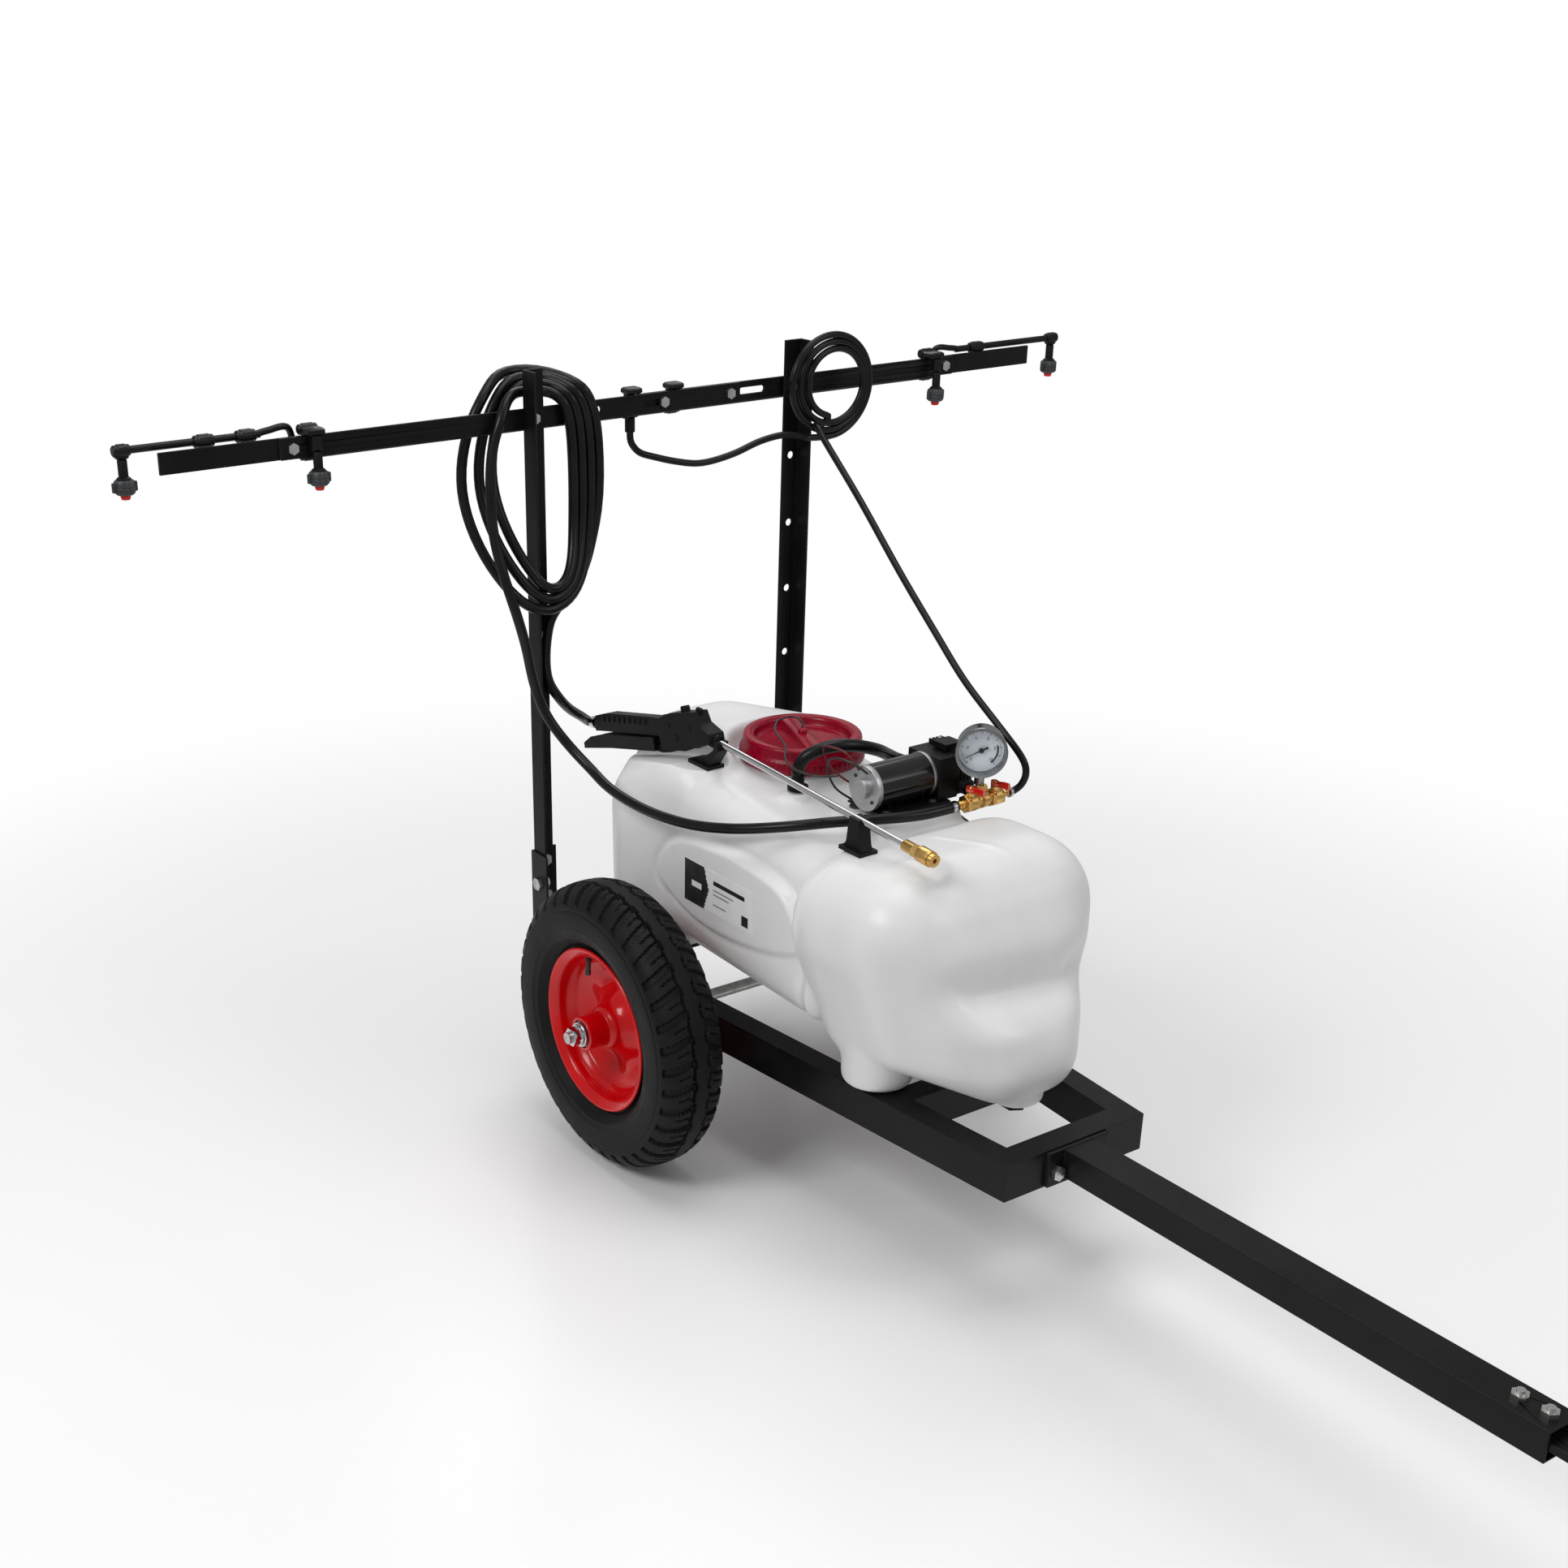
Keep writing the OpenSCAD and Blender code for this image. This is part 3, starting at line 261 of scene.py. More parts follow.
# ------------------------------------------------------------------ curves shared with the CAD
def cr(P, n):
    P = [np.asarray(p, float) for p in P]; out = []
    for i in range(len(P) - 1):
        a, b, c, d = P[max(i - 1, 0)], P[i], P[i + 1], P[min(i + 2, len(P) - 1)]
        for j in range(n):
            t = j / n
            out.append(0.5 * ((2 * b) + (c - a) * t + (2 * a - 5 * b + 4 * c - d) * t * t + (3 * b - a - 3 * c + d) * t ** 3))
    return out + [P[-1]]
def smoothed(P, it=3):
    P = np.array(P)
    for _ in range(it):
        Q = P.copy(); Q[1:-1] = 0.5 * P[1:-1] + 0.25 * (P[:-2] + P[2:]); P = Q
    return P
def sm(a, b, t): s = min(max((t - a) / (b - a), 0), 1); return s * s * (3 - 2 * s)
def mixv(a, b, s): return a + (b - a) * s
def coilp(u):
    t = (u - math.floor(u)) * 360; zt = 992 + 7 * u; zb = 745 - 14 * u; yr = -163 + 14 * u; yl = -255 - 12 * u - 3.3 * u * u
    yc = (yr + yl) / 2; a = (yr - yl) / 2; zc = (zt + zb) / 2; b = (zt - zb) / 2; S = math.sin(math.radians(t)); C = math.cos(math.radians(t)); p = 0.55 if t < 90 else 1
    xs = 16 * (1 - sm(5, 38, t) + sm(325, 360, t))
    x = mixv(-285, -266, sm(8, 40, t)) if t < 60 else mixv(-266, -238, sm(100, 165, t)) if t < 180 else -238 if t < 195 else mixv(-238, -303, sm(205, 285, t)) if t < 300 else mixv(-303, -285, sm(328, 356, t))
    sg = lambda v, q: math.copysign(abs(v) ** q, v) if v else 0.0
    return [x - xs * u, yc + a * sg(S, p), zc + b * sg(C, p)]
vx, vz = 262, 521
STRA = [[vx, 79.8, vz], [vx, 60, vz], [258, 24, vz - 1], [246, -20, 521], [216, -80, 520], [178, -128, 512], [120, -164, 498], [62, -184, 488], [10, -193, 483], [-40, -199, 482], [-90, -202, 485], [-128, -203, 491], [-162, -203, 502], [-200, -214, 527], [-224, -234, 566], [-234, -248, 612], [-228, -262, 665], [-226, -276, 712], [-233, -290, 765], [-248, -296, 820], [-258, -293, 880], [-264, -284, 930], [-264, -270, 965], [-275, -252, 988], [-284, -230, 994]]
STRB = [[-262, -132, 800], [-262, -146, 755], [-264, -170, 722], [-263, -194, 700], [-262, -206, 680], [-262, -212, 640], [-263, -208, 604], [-268, -188, 574], [-286, -160, 548], [-308, -128, 526], [-324, -108, 512], [-327, -101, 507], [-319, -100, 508], [-304.4, -100, 511]]
BH1 = [[vx, 170.3, vz], [vx + 1, 179, vz + 1], [268, 188, vz + 10], [272, 190, 548], [264, 187, 568], [222, 182, 600], [151, 184, 641], [84, 188, 690], [0, 194, 752], [-97, 202, 828], [-180, 210, 886], [-222, 218, 910], [-240, 230, 900]]
BH2 = [[-237, 216, 891], [-252, 190, 897], [-264, 152, 890], [-270, 110, 876], [-276, 60, 868], [-280, 20, 874], [-285, -16, 884], [-288, -38, 892], [-290, -50, 906], [-290, -52, 919.6]]
def loopp(u):
    t = math.radians(u * 360); k = u - 0.5; a = 46 + 10 * k; b = 44 + 9.8 * k
    return [-236, 262 + a * math.sin(t) - 4 * k, 962 + b * math.cos(t)]

wand = smoothed(cr(STRA, 6) + [coilp(0.02 + i / 66) for i in range(int(3.26 * 66) + 1)] + cr(STRB, 6), 4)
mb = MB()
rad = np.full(len(wand), 7.0); rad[:20] = np.linspace(7.7, 7.0, 20); rad[-14:] = np.linspace(7.0, 6.0, 14)
mb.sweep(wand, rad, 18)
put(mb, "gun_hose", "chassis", ["hose"], ["wand_hose"], "hose_black")
mb = MB(); mb.sweep(smoothed(cr(BH1, 8) + [loopp(0.5 + i / 60) for i in range(181)] + cr(BH2, 8), 4), 4.75, 16)
put(mb, "boom_feed_hose", "chassis", ["hose"], ["boom_hose"], "hose_black")
SUCP = [[95, -47, 540.2], [95, -47, 548], [102, -40, 566], [116, -14, 578], [126, 20, 576], [124, 60, 562], [110, 92, 545], [104, 113, 533], [116, 121, 530], [133.6, 121, 530]]
mb = MB(); mb.sweep(smoothed(cr(SUCP, 10), 3), 8.6, 20)
put(mb, "suction_line", "chassis", ["hose"], ["suction_hose"], "hose_black")
W1 = [[188, -22, 569], [176, -34, 590], [150, -38, 592], [128, -34, 584], [132, -26, 560], [148, -14, 544], [156, 6, 530]]
W2 = [[204, -22, 569], [196, -40, 584], [166, -48, 584], [150, -44, 566], [150, -30, 536], [152, -2, 514]]
mb = MB(); mb.sweep(smoothed(cr(W1, 12), 4), 1.5, 10, 0); mb.sweep(smoothed(cr(W2, 12), 4), 1.5, 10, 1)
put(mb, "pump_leads", "chassis", ["wire_r", "wire_b"], ["pump_wires"], "wire_sleeve")
TETH = [[10, 26, 567.2], [2, 30, 574], [-10, 22, 578], [-12, 2, 576], [6, -18, 572], [32, -30, 570], [60, -42, 568], [84, -60, 560], [118, -66, 556], [150, -56, 556], [166, -38, 558]]
mb = MB(); mb.sweep(smoothed(cr(TETH, 14), 4), 1.4, 10)
te = mb.done("lid_wire", ["wire_b"])
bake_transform(te)
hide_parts("lid_tether")

# ------------------------------------------------------------------ tank: union of soft volumes, remeshed and smoothed
def ball_hull(L):
    pts = []
    for x, y, z, r in L:
        for s in (-1, 1):
            for i in range(13):
                ph = math.pi * i / 12
                for j in range(24 if 0 < i < 12 else 1):
                    th = 2 * math.pi * j / 24
                    pts.append((x + r * math.sin(ph) * math.cos(th), s * y + r * math.sin(ph) * math.sin(th), z + r * math.cos(ph)))
    bm = bmesh.new()
    for p in pts: bm.verts.new([c * 0.001 for c in p])
    res = bmesh.ops.convex_hull(bm, input=bm.verts)
    bmesh.ops.delete(bm, geom=[v for v in bm.verts if not v.link_faces], context="VERTS")
    V = [tuple(v.co * 1000) for v in bm.verts]; bm.verts.index_update()
    F = [tuple(v.index for v in f.verts) for f in bm.faces]
    bm.free()
    return V, F
REAR = [[-143, 123, 280, 48], [-69, 120, 298, 45], [-132, 123, 425, 53], [-166, 28, 466, 88], [-65, 87, 479, 73]]
MIDB = [[-70, 107, 322, 47], [248, 109, 319, 51], [-60, 99, 473, 53], [249, 97, 443, 46]]
FRNT = [[311, 107, 288, 45], [397, 101, 297, 45], [305, 112, 425, 83], [370, 98, 425, 90], [484, 25, 284, 58]]
LX, LY, SX, SY = 10, 26, 452, 36
mb = MB()
for Lb in (REAR + [[-146, 112, 446, 58]], MIDB, FRNT): mb.add(*ball_hull(Lb))
mb.cyl((LX, LY, 440), (LX, LY, 530), 78, 64)
mb.box((150, -30, 440), (245, 112, 509))
mb.box((-60, -115, 440), (-14, -85, 526)); mb.box((262, -115, 440), (306, -85, 508))
mb.cyl((385, -83, 450), (385, -83, 518), 34, 40); mb.cyl((95, -47, 450), (95, -47, 520), 18, 40)
for s in (-1, 1):
    mb.cyl((342, s * 100, 214), (342, s * 100, 290), 47, 48); mb.cyl((-120, s * 150, 214), (-120, s * 150, 290), 34, 40)
mb.cyl((SX, SY, 194), (SX, SY, 300), 37, 48)
src = mb.done("tank_seed", ["tank"])
rm = src.modifiers.new("r", "REMESH"); rm.mode = "VOXEL"; rm.voxel_size = 0.003
dg = bpy.context.evaluated_depsgraph_get(); dg.update()
ev = src.evaluated_get(dg).to_mesh()
nv = len(ev.vertices)
V = np.empty(nv * 3, np.float32); ev.vertices.foreach_get("co", V); V = (V.reshape(-1, 3).astype(float) - np.array(OFF)) * 1000
E = np.empty(len(ev.edges) * 2, np.int32); ev.edges.foreach_get("vertices", E); E = E.reshape(-1, 2)
FC = [tuple(p.vertices) for p in ev.polygons]
src.evaluated_get(dg).to_mesh_clear()
bpy.data.objects.remove(src)
deg = np.bincount(E.ravel(), minlength=nv)[:, None]
def lap(V, n, keep=None):
    for _ in range(n):
        S = np.zeros_like(V)
        for ax in range(3):
            S[:, ax] = np.bincount(E[:, 0], V[E[:, 1], ax], nv) + np.bincount(E[:, 1], V[E[:, 0], ax], nv)
        V = V + 0.6 * (S / deg - V) * (1 if keep is None else keep)
    return V
V = lap(V, 26)
def chaikin(P, n=2, closed=True):
    P = np.asarray(P, float)
    for _ in range(n):
        Q = np.roll(P, -1, 0)
        P = np.stack([0.75 * P + 0.25 * Q, 0.25 * P + 0.75 * Q], 1).reshape(-1, 2)
    return P
chaik = chaikin
def step(a, b, x): t = np.clip((x - a) / (b - a), 0, 1); return t * t * (3 - 2 * t)
def vnorm(V):
    N = np.zeros_like(V); Fq = np.array([f if len(f) == 4 else (*f, f[-1]) for f in FC])
    n = np.cross(V[Fq[:, 2]] - V[Fq[:, 0]], V[Fq[:, 3]] - V[Fq[:, 1]])
    for c in range(4):
        for ax in range(3): N[:, ax] += np.bincount(Fq[:, c], n[:, ax], nv)
    return N / np.maximum(np.linalg.norm(N, axis=1), 1e-9)[:, None]
Nn = vnorm(V); cen = V.mean(0)
if ((V - cen) * Nn).sum() < 0: Nn = -Nn
x, y, z = V.T
def poly_sd(px, pz, P):
    P = np.asarray(P, float); dmin = np.full(len(px), 1e9); ins = np.zeros(len(px), bool)
    for i in range(len(P)):
        a_, b_ = P[i], P[(i + 1) % len(P)]; ab = b_ - a_
        t = np.clip(((px - a_[0]) * ab[0] + (pz - a_[1]) * ab[1]) / (ab @ ab), 0, 1)
        dmin = np.minimum(dmin, np.hypot(px - a_[0] - t * ab[0], pz - a_[1] - t * ab[1]))
        cr_ = ((a_[1] > pz) != (b_[1] > pz)) & (px < (b_[0] - a_[0]) * (pz - a_[1]) / (b_[1] - a_[1] + 1e-12) + a_[0])
        ins ^= cr_
    return np.where(ins, dmin, -dmin)
PANEL = chaik([[-42, 423], [-8, 443], [110, 456], [205, 444], [232, 420], [250, 376], [226, 356], [87, 332], [-7, 340], [-65, 373]])
d = np.zeros(nv)
# scoop across the front face with a rounded bulge below it
face = step(0.25, 0.75, Nn[:, 0]) * step(380, 420, x)
d += -23 * np.exp(-((z - 380 + 0.08 * y) / 27) ** 2) * face * step(-150, -60, y) * step(-150, -90, -y)
d += 4 * np.exp(-((z - 330) / 20) ** 2) * face * np.exp(-((y + 60) / 60) ** 2)
# step where the front block widens out of the middle body
side = step(95, 125, np.abs(y)) * step(250, 290, z) * step(-505, -470, -z)
xb = 262 + (z - 300) * 0.10
d += 4.6 * np.exp(-((x - xb) / 5) ** 2) * side - 3.6 * np.exp(-((x - xb + 13) / 6) ** 2) * side
V = V + Nn * (d * (z > 240))[:, None]
x, y, z = V.T
# raised label panels
sd = poly_sd(x, z, PANEL); pw_ = step(-5, 2, sd) * step(118, 135, np.abs(y))
V[:, 1] = np.where(pw_ > 0, np.sign(y) * (np.abs(y) + np.maximum(161.6 - np.abs(y), 0) * pw_), y)
gr = np.exp(-((sd + 8) / 4) ** 2) * step(118, 135, np.abs(y)) * (z > 300)
V[:, 1] -= np.sign(y) * 1.8 * gr
x, y, z = V.T
# the near shoulder falls away under the gun; the ground round the filler neck and behind the pump is level
shz = np.interp(x, [-330, -235, -141, -100, -66, -9], [440, 481, 508, 519, 526, 526]) - 0.4
z = np.minimum(z, shz + 70 * step(-84, -50, y) + 80 * step(-9, 24, x))
rl = np.hypot(x - LX, y - LY)
z = np.where(rl < 78.5, z, np.minimum(z, 525.2 + 60 * step(91, 112, rl)))
V[:, 2] = z
top = step(0.6, 0.9, Nn[:, 2])
V[:, 2] += 1.5 * np.exp(-((np.hypot(x + 70, y) - 150) / 4) ** 2) * top * step(-250, -200, -x) * step(100, 125, np.abs(y))
V[:, 2] += 1.6 * np.exp(-((y - 0.35 * (x - 330) - 20) / 5) ** 2) * top * step(285, 305, x) * step(-440, -415, -x)
V = lap(V, 2)
V[:, 2] = np.maximum(V[:, 2], np.where((np.hypot(V[:, 0] - SX, V[:, 1] - SY) < 45), 194, 214))
# open filler neck: a ledge that holds the strainer flange and a well below it
rl = np.hypot(V[:, 0] - LX, V[:, 1] - LY); up = V[:, 2] > 480
nr, nz_ = rl.copy(), V[:, 2].copy()
for a_, b_, rr_, zz_ in ((70.6, 73.8, 70.7, 530), (67.6, 70.6, 70.5, 503.6), (62, 67.6, None, 503.6), (59, 62, 59.1, 503.6), (56, 59, 58.9, 428), (-1, 56, None, 428)):
    q = up & (rl >= a_) & (rl < b_)
    nz_[q] = zz_
    if rr_: nr[q] = rr_
k_ = (nr / np.maximum(rl, 1e-6))
V[:, 0] = np.where(up & (rl < 73.8), LX + (V[:, 0] - LX) * k_, V[:, 0]); V[:, 1] = np.where(up & (rl < 73.8), LY + (V[:, 1] - LY) * k_, V[:, 1]); V[:, 2] = nz_
mb = MB(); mb.add(V, FC)
tank = put(mb, "tank_body", "chassis", ["tank"], ["tank"], "tank_white", sharp=80)

# label on the raised side panel: generic blocks only
bvh = BVHTree.FromPolygons([tuple(v) for v in V], FC)
gx, gz = np.linspace(3, 155, 76), np.linspace(360, 420, 30)
A, Bk = [], []
for zz in gz:
    for xx in gx:
        h = bvh.ray_cast(Vector((xx, -320, zz)), Vector((0, 1, 0)))[0]
        yy = max(h[1], -162.2) if h else -162
        A.append((xx, yy - 0.7, zz)); Bk.append((xx, yy - 0.1, zz))
nx, nz = len(gx), len(gz)
F, mi = [], []
for i in range(nz - 1):
    for j in range(nx - 1):
        a = i * nx + j
        F.append((a, a + 1, a + nx + 1, a + nx))
        u, w = (j + 0.5) / (nx - 1), (i + 0.5) / (nz - 1)
        k = 0
        if u < 0.36 - 0.07 * abs(w - 0.5) * 2: k = 1
        if k == 1 and 0.42 < w < 0.56 and 0.1 < u < 0.25: k = 0
        if u > 0.42 and 0.7 < w < 0.8 and u < 0.88: k = 1
        if u > 0.42 and 0.56 < w < 0.6 and u < 0.72: k = 2
        if u > 0.42 and 0.46 < w < 0.5 and u < 0.66: k = 2
        if u > 0.42 and 0.2 < w < 0.25 and u < 0.62: k = 2
        if 0.84 < u < 0.93 and 0.12 < w < 0.34: k = 1
        mi.append(k)
o = nx * nz
Fb = [tuple(i + o for i in f)[::-1] for f in F]
rim_i = [j for j in range(nx)] + [i * nx + nx - 1 for i in range(1, nz)] + [(nz - 1) * nx + j for j in range(nx - 2, -1, -1)] + [i * nx for i in range(nz - 2, 0, -1)]
Fs = [(rim_i[i], rim_i[(i + 1) % len(rim_i)], rim_i[(i + 1) % len(rim_i)] + o, rim_i[i] + o) for i in range(len(rim_i))]
mb = MB(); mb.add(A + Bk, F + Fb + Fs); mb.m = mi + [0] * (len(Fb) + len(Fs))
put(mb, "side_label", "chassis", ["paper", "ink", "grey"], ["label"], "label_print", sharp=60)

# ------------------------------------------------------------------ wheels
pw = lambda c, e: np.sign(c) * np.abs(c) ** e
a = np.radians(np.linspace(-118, 118, 97)); c, s_ = np.cos(a), np.sin(a)
to = np.stack([152 + np.where(c > 0, 48 * np.abs(c) ** 0.75, -46 * np.abs(c) ** 0.9), 50 * pw(s_, 0.8)], 1)
a = np.radians(np.linspace(112, -112, 29)); c, s_ = np.cos(a), np.sin(a)
ti = np.stack([150 + np.where(c > 0, 39 * np.abs(c) ** 0.8, -46 * np.abs(c) ** 0.95), 42 * pw(s_, 0.85)], 1)
tprof = np.concatenate([[[103.8, -31], [117, -33.5]], to, [[117, 33.5], [103.8, 31]], [[103.8, 22]], ti, [[103.8, -22]]])
outer = np.zeros(len(tprof), bool); outer[2:2 + len(to)] = True
PIT = 38
def tread(r, z, a):
    r, z = r.copy(), z.copy()
    w = np.abs(z)
    ph = (a / (2 * np.pi) * PIT + 0.012 * w + np.where(z > 0, 0.5, 0.0)) % 1.0
    zone = outer & (r > 172)
    trans = (np.abs(ph - 0.5) < 0.17) & (w > 13) & (r > 176)
    sipe = (np.abs(ph - 0.02) < 0.045) & (w > 17) & (w < 33) & (r > 185)
    ring_ = (np.abs(w - 11.5 - 1.6 * math.sin(a * PIT)) < 1.7) & (r > 185)
    cut = np.where(zone & (trans | ring_), 4.6, 0) + np.where(zone & sipe & ~trans, 2.6, 0)
    cut += np.where(outer & (w > 44) & (np.abs(r - 168) < 1.4), 0.9, 0)
    rr, zz = r - 152, z
    L = np.maximum(np.hypot(rr, zz), 1)
    bead = np.where(outer & (np.abs(r - 131) < 1.6), 1.0, 0) + np.where(outer & (np.abs(r - 141) < 0.9), 0.6, 0)
    return r - cut * rr / L + bead * rr / L * 0, z - cut * zz / L * 0.8 + bead * np.sign(z)
RIM = [[115.5, 38], [113, 41], [109.5, 39.5], [103, 35], [100, 31], [99, 20], [93, 12], [90, 6], [80, 2], [68, -6], [56, -6], [44, 3], [33, 14], [30, 24], [26, 27], [23.5, 28], [23.5, 58], [22.5, 59], [17.6, 59],
       [17.6, -45], [23.5, -45], [23.5, 20], [30, 11], [41, 0], [54, -10], [69, -10], [80, -3], [90, 0.5], [90, -12], [96, -22], [97.2, -31], [103, -37], [109.5, -41], [113, -41], [115.5, -38], [112.5, -35], [109.8, -36], [103.2, -33.5], [102.5, -30], [99.5, -20], [93.5, -11], [93.5, 9], [96, 12], [102.5, 20], [103, 31], [109.5, 36], [112.5, 35]]
def dish(r, z, a):
    wv = 0.5 + 0.5 * math.cos(5 * a)
    k = np.exp(-((r - 64) / 15) ** 2)
    return r, z + 7.5 * (wv - 0.45) * k
for s, nm in ((-1, "right"), (1, "left")):
    org = (0, s * 270, 200); Zd = vec(0, s, 0)
    XY = (vec(1, 0, 0), vec(0, 0, 1))
    mb = MB(); mb.lathe(tprof, org, Zd, PIT * (18), 0, closed=True, mod=tread, XY=XY)
    put(mb, "tyre_tread_" + nm, "wheel_" + nm, ["tyre"], ["tyre_" + nm], "tyre_rubber", sharp=34)
    mb = MB(); mb.lathe(chaikin(RIM, 2), org, Zd, 160, 0, closed=True, mod=dish, XY=XY)
    put(mb, "rim_dish_" + nm, "wheel_" + nm, ["rim"], ["rim_" + nm], "rim_red", sharp=60)
    mb = MB()
    t = np.linspace(0, 2 * np.pi, 25)[:-1]
    mb.lathe(np.stack([146 + 35 * np.cos(t), 29 * np.sin(t)], 1), org, Zd, 96, 0, closed=True, XY=XY)
    ca, sa = math.cos(math.radians(115)), math.sin(math.radians(115))
    P = lambda r, zz: vec(r * ca, s * 270 + s * zz, 200 + r * sa)
    mb.cyl(P(115, 13), P(92, 21), 4.3, 20, 0.5); mb.cyl(P(92, 21), P(80, 25), 3.4, 20, 0.5, 0); mb.cyl(P(81, 24.7), P(74, 27), 4.0, 20, 0.6, 0)
    put(mb, "inner_tube_" + nm, "wheel_" + nm, ["tube"], ["tube_" + nm], "tube_rubber")

# ------------------------------------------------------------------ lid
mb = MB()
rib = lambda r, z, a: (r + np.where((r > 83.2) & (z > 529) & (z < 541), 0.55 * math.cos(64 * a), 0), z)
mb.lathe([(0, 548), (58, 548), (62, 549), (64, 551.5), (64.8, 557), (66.2, 560.4), (69, 562), (75.5, 562), (78.6, 561.2), (80.4, 559), (81, 556), (81, 547.4), (82.4, 545.4), (84.2, 543.2), (84.8, 540.5), (84.8, 530.5), (84.4, 528.2), (83.4, 527), (80.2, 527), (80.2, 534.4), (0, 534.4)], (LX, LY, 0), (0, 0, 1), 256, 0, mod=rib)
dx, dy = math.cos(math.radians(-22)), math.sin(math.radians(-22))
bar = []
for t in np.linspace(-1, 1, 17):
    w_ = 9.6 + 3.6 * t * t; hgt = 561.2 - 1.2 * (1 - t * t)
    c0 = vec(LX + dx * 66 * t, LY + dy * 66 * t, 0); nrm = vec(-dy, dx, 0)
    bar.append([c0 + nrm * w_ * q + vec(0, 0, zz) for q, zz in ((-1.12, 546), (-1.02, hgt - 4), (-0.92, hgt - 1.2), (-0.72, hgt), (0.72, hgt), (0.92, hgt - 1.2), (1.02, hgt - 4), (1.12, 546))])
Vb = [p for r_ in bar for p in r_]
Fb = [(i * 8 + j, i * 8 + (j + 1) % 8, (i + 1) * 8 + (j + 1) % 8, (i + 1) * 8 + j) for i in range(16) for j in range(8)] + [tuple(range(8))[::-1], tuple(128 + j for j in range(8))]
mb.add(Vb, Fb)
mb.lathe([(0, 558), (6.6, 558), (6.6, 562.5), (5.8, 565), (4, 566.6), (0, 567)], (LX, LY, 0), (0, 0, 1), 32)
put(mb, "filler_lid", "lid_cap", ["lid"], ["lid"], "lid_red", sharp=40)
mb = MB(); mb.ring((LX, LY, 530.2), (LX, LY, 534), 77.8, 71.2, 96)
put(mb, "lid_seal_ring", "lid_seal", ["tube"], ["lid_gasket"], "tube_rubber", bevel=0.6)

# ------------------------------------------------------------------ pump feet, label-free details
mb = MB()
for fx in (166, 226):
    for fy in (-6, 72):
        mb.lathe([(0, 509), (8.6, 509), (9, 510), (8.2, 512), (6.2, 513), (7.4, 514.2), (7.4, 514.9), (2.6, 515), (2.6, 517.5), (5, 517.6), (5, 520), (3.6, 521), (0, 521)], (fx, fy, 0), (0, 0, 1), 28)
put(mb, "rubber_feet", "chassis", ["tube"], ["pump_feet"], "tube_rubber")
mb = MB()
for sx, sz in ((-17, 13), (17, -14)): mb.cyl((196 + sx, -19.5, 546 + sz), (196 + sx, -21.6, 546 + sz), 2.4, 16, 0.4, 0)
for sx in (-22, 22):
    for sz in (-20, 20): mb.cyl((196 + sx, 145.5, 546 + sz), (196 + sx, 149, 546 + sz), 3.4, 16, 0.6, 1)
for sx in (-24, 0, 22): mb.cyl((196 + sx, 127, 577), (196 + sx, 127, 580.6), 3.2, 6, 0.4, 1)
put(mb, "pump_screws", "chassis", ["gloss", "zinc"], (), "zinc_steel")

# ------------------------------------------------------------------ manifold and valves
mb = MB()
mb.lathe([(0, 80), (5, 80), (6, 81.5), (5.2, 84), (6, 85.5), (5.2, 88), (6, 89.5), (6, 92), (9.6, 92.5), (9.8, 96.5), (11.3, 97.5), (11.3, 110), (9.6, 111.5), (8.2, 113), (8.2, 120), (10.6, 121), (10.6, 129), (8.2, 130), (8.2, 138), (9.6, 139), (11.3, 140.5), (11.3, 153), (9.6, 154.5), (8.4, 156), (8.2, 158), (4.4, 158.5), (4.6, 160), (3.9, 162.5), (4.6, 164), (3.9, 166.5), (4.6, 168), (4.2, 170), (0, 170)], (vx, 0, vz), (0, 1, 0), 48, XY=((1, 0, 0), (0, 0, 1)))
for yy in (104, 147):
    mb.cyl((vx, yy, vz + 7), (vx, yy, vz + 14.8), 6.4, 32)
    for q in (-7.5, 6.5): mb.cyl((vx, yy + q - 3, vz), (vx, yy + q + 3, vz), 12.6, 6, 1.2)
mb.cyl((vx, 122, vz + 6), (vx, 122, vz + 20), 6, 32); mb.cyl((vx, 122, vz + 13.6), (vx, 122, vz + 20.8), 8.6, 6, 1.0)
mb.cyl((243.4, 121, 529), (vx, 123, vz + 2), 7.9, 32)
for t in (2, 9): mb.cyl(vec(243.4, 121, 529) + un([18.6, 2, -6]) * t, vec(243.4, 121, 529) + un([18.6, 2, -6]) * (t + 4), 9.4, 6, 0.8)
put(mb, "brass_manifold", "chassis", ["brass"], ["manifold"], "brass", sharp=30)
for yy, nm, body in ((104, "valve_a", "handle_a"), (147, "valve_b", "handle_b")):
    mb = MB()
    mb.cyl((vx, yy, vz), (vx, yy, vz + 21.5), 2.4, 20, 0.4, 1)
    mb.cyl((vx, yy, vz + 15.4), (vx, yy, vz + 18.8), 6.6, 28, 0.8, 0); mb.cyl((vx, yy, vz + 18.8), (vx, yy, vz + 21), 4, 6, 0.4, 1)
    pts = [(vx - 8, yy, vz + 17.4), (vx, yy, vz + 17.8), (vx + 8, yy, vz + 18), (vx + 16, yy, vz + 19.2), (vx + 25, yy, vz + 19.4)]
    mb.sweep(cr(pts, 5), np.interp(np.arange(21), [0, 5, 10, 20], [3.2, 5.4, 4.2, 5.6]), 16, 0, flat=0.35)
    put(mb, nm + "_lever", body, ["handle", "brass"], [nm], "handle_red", sharp=45)

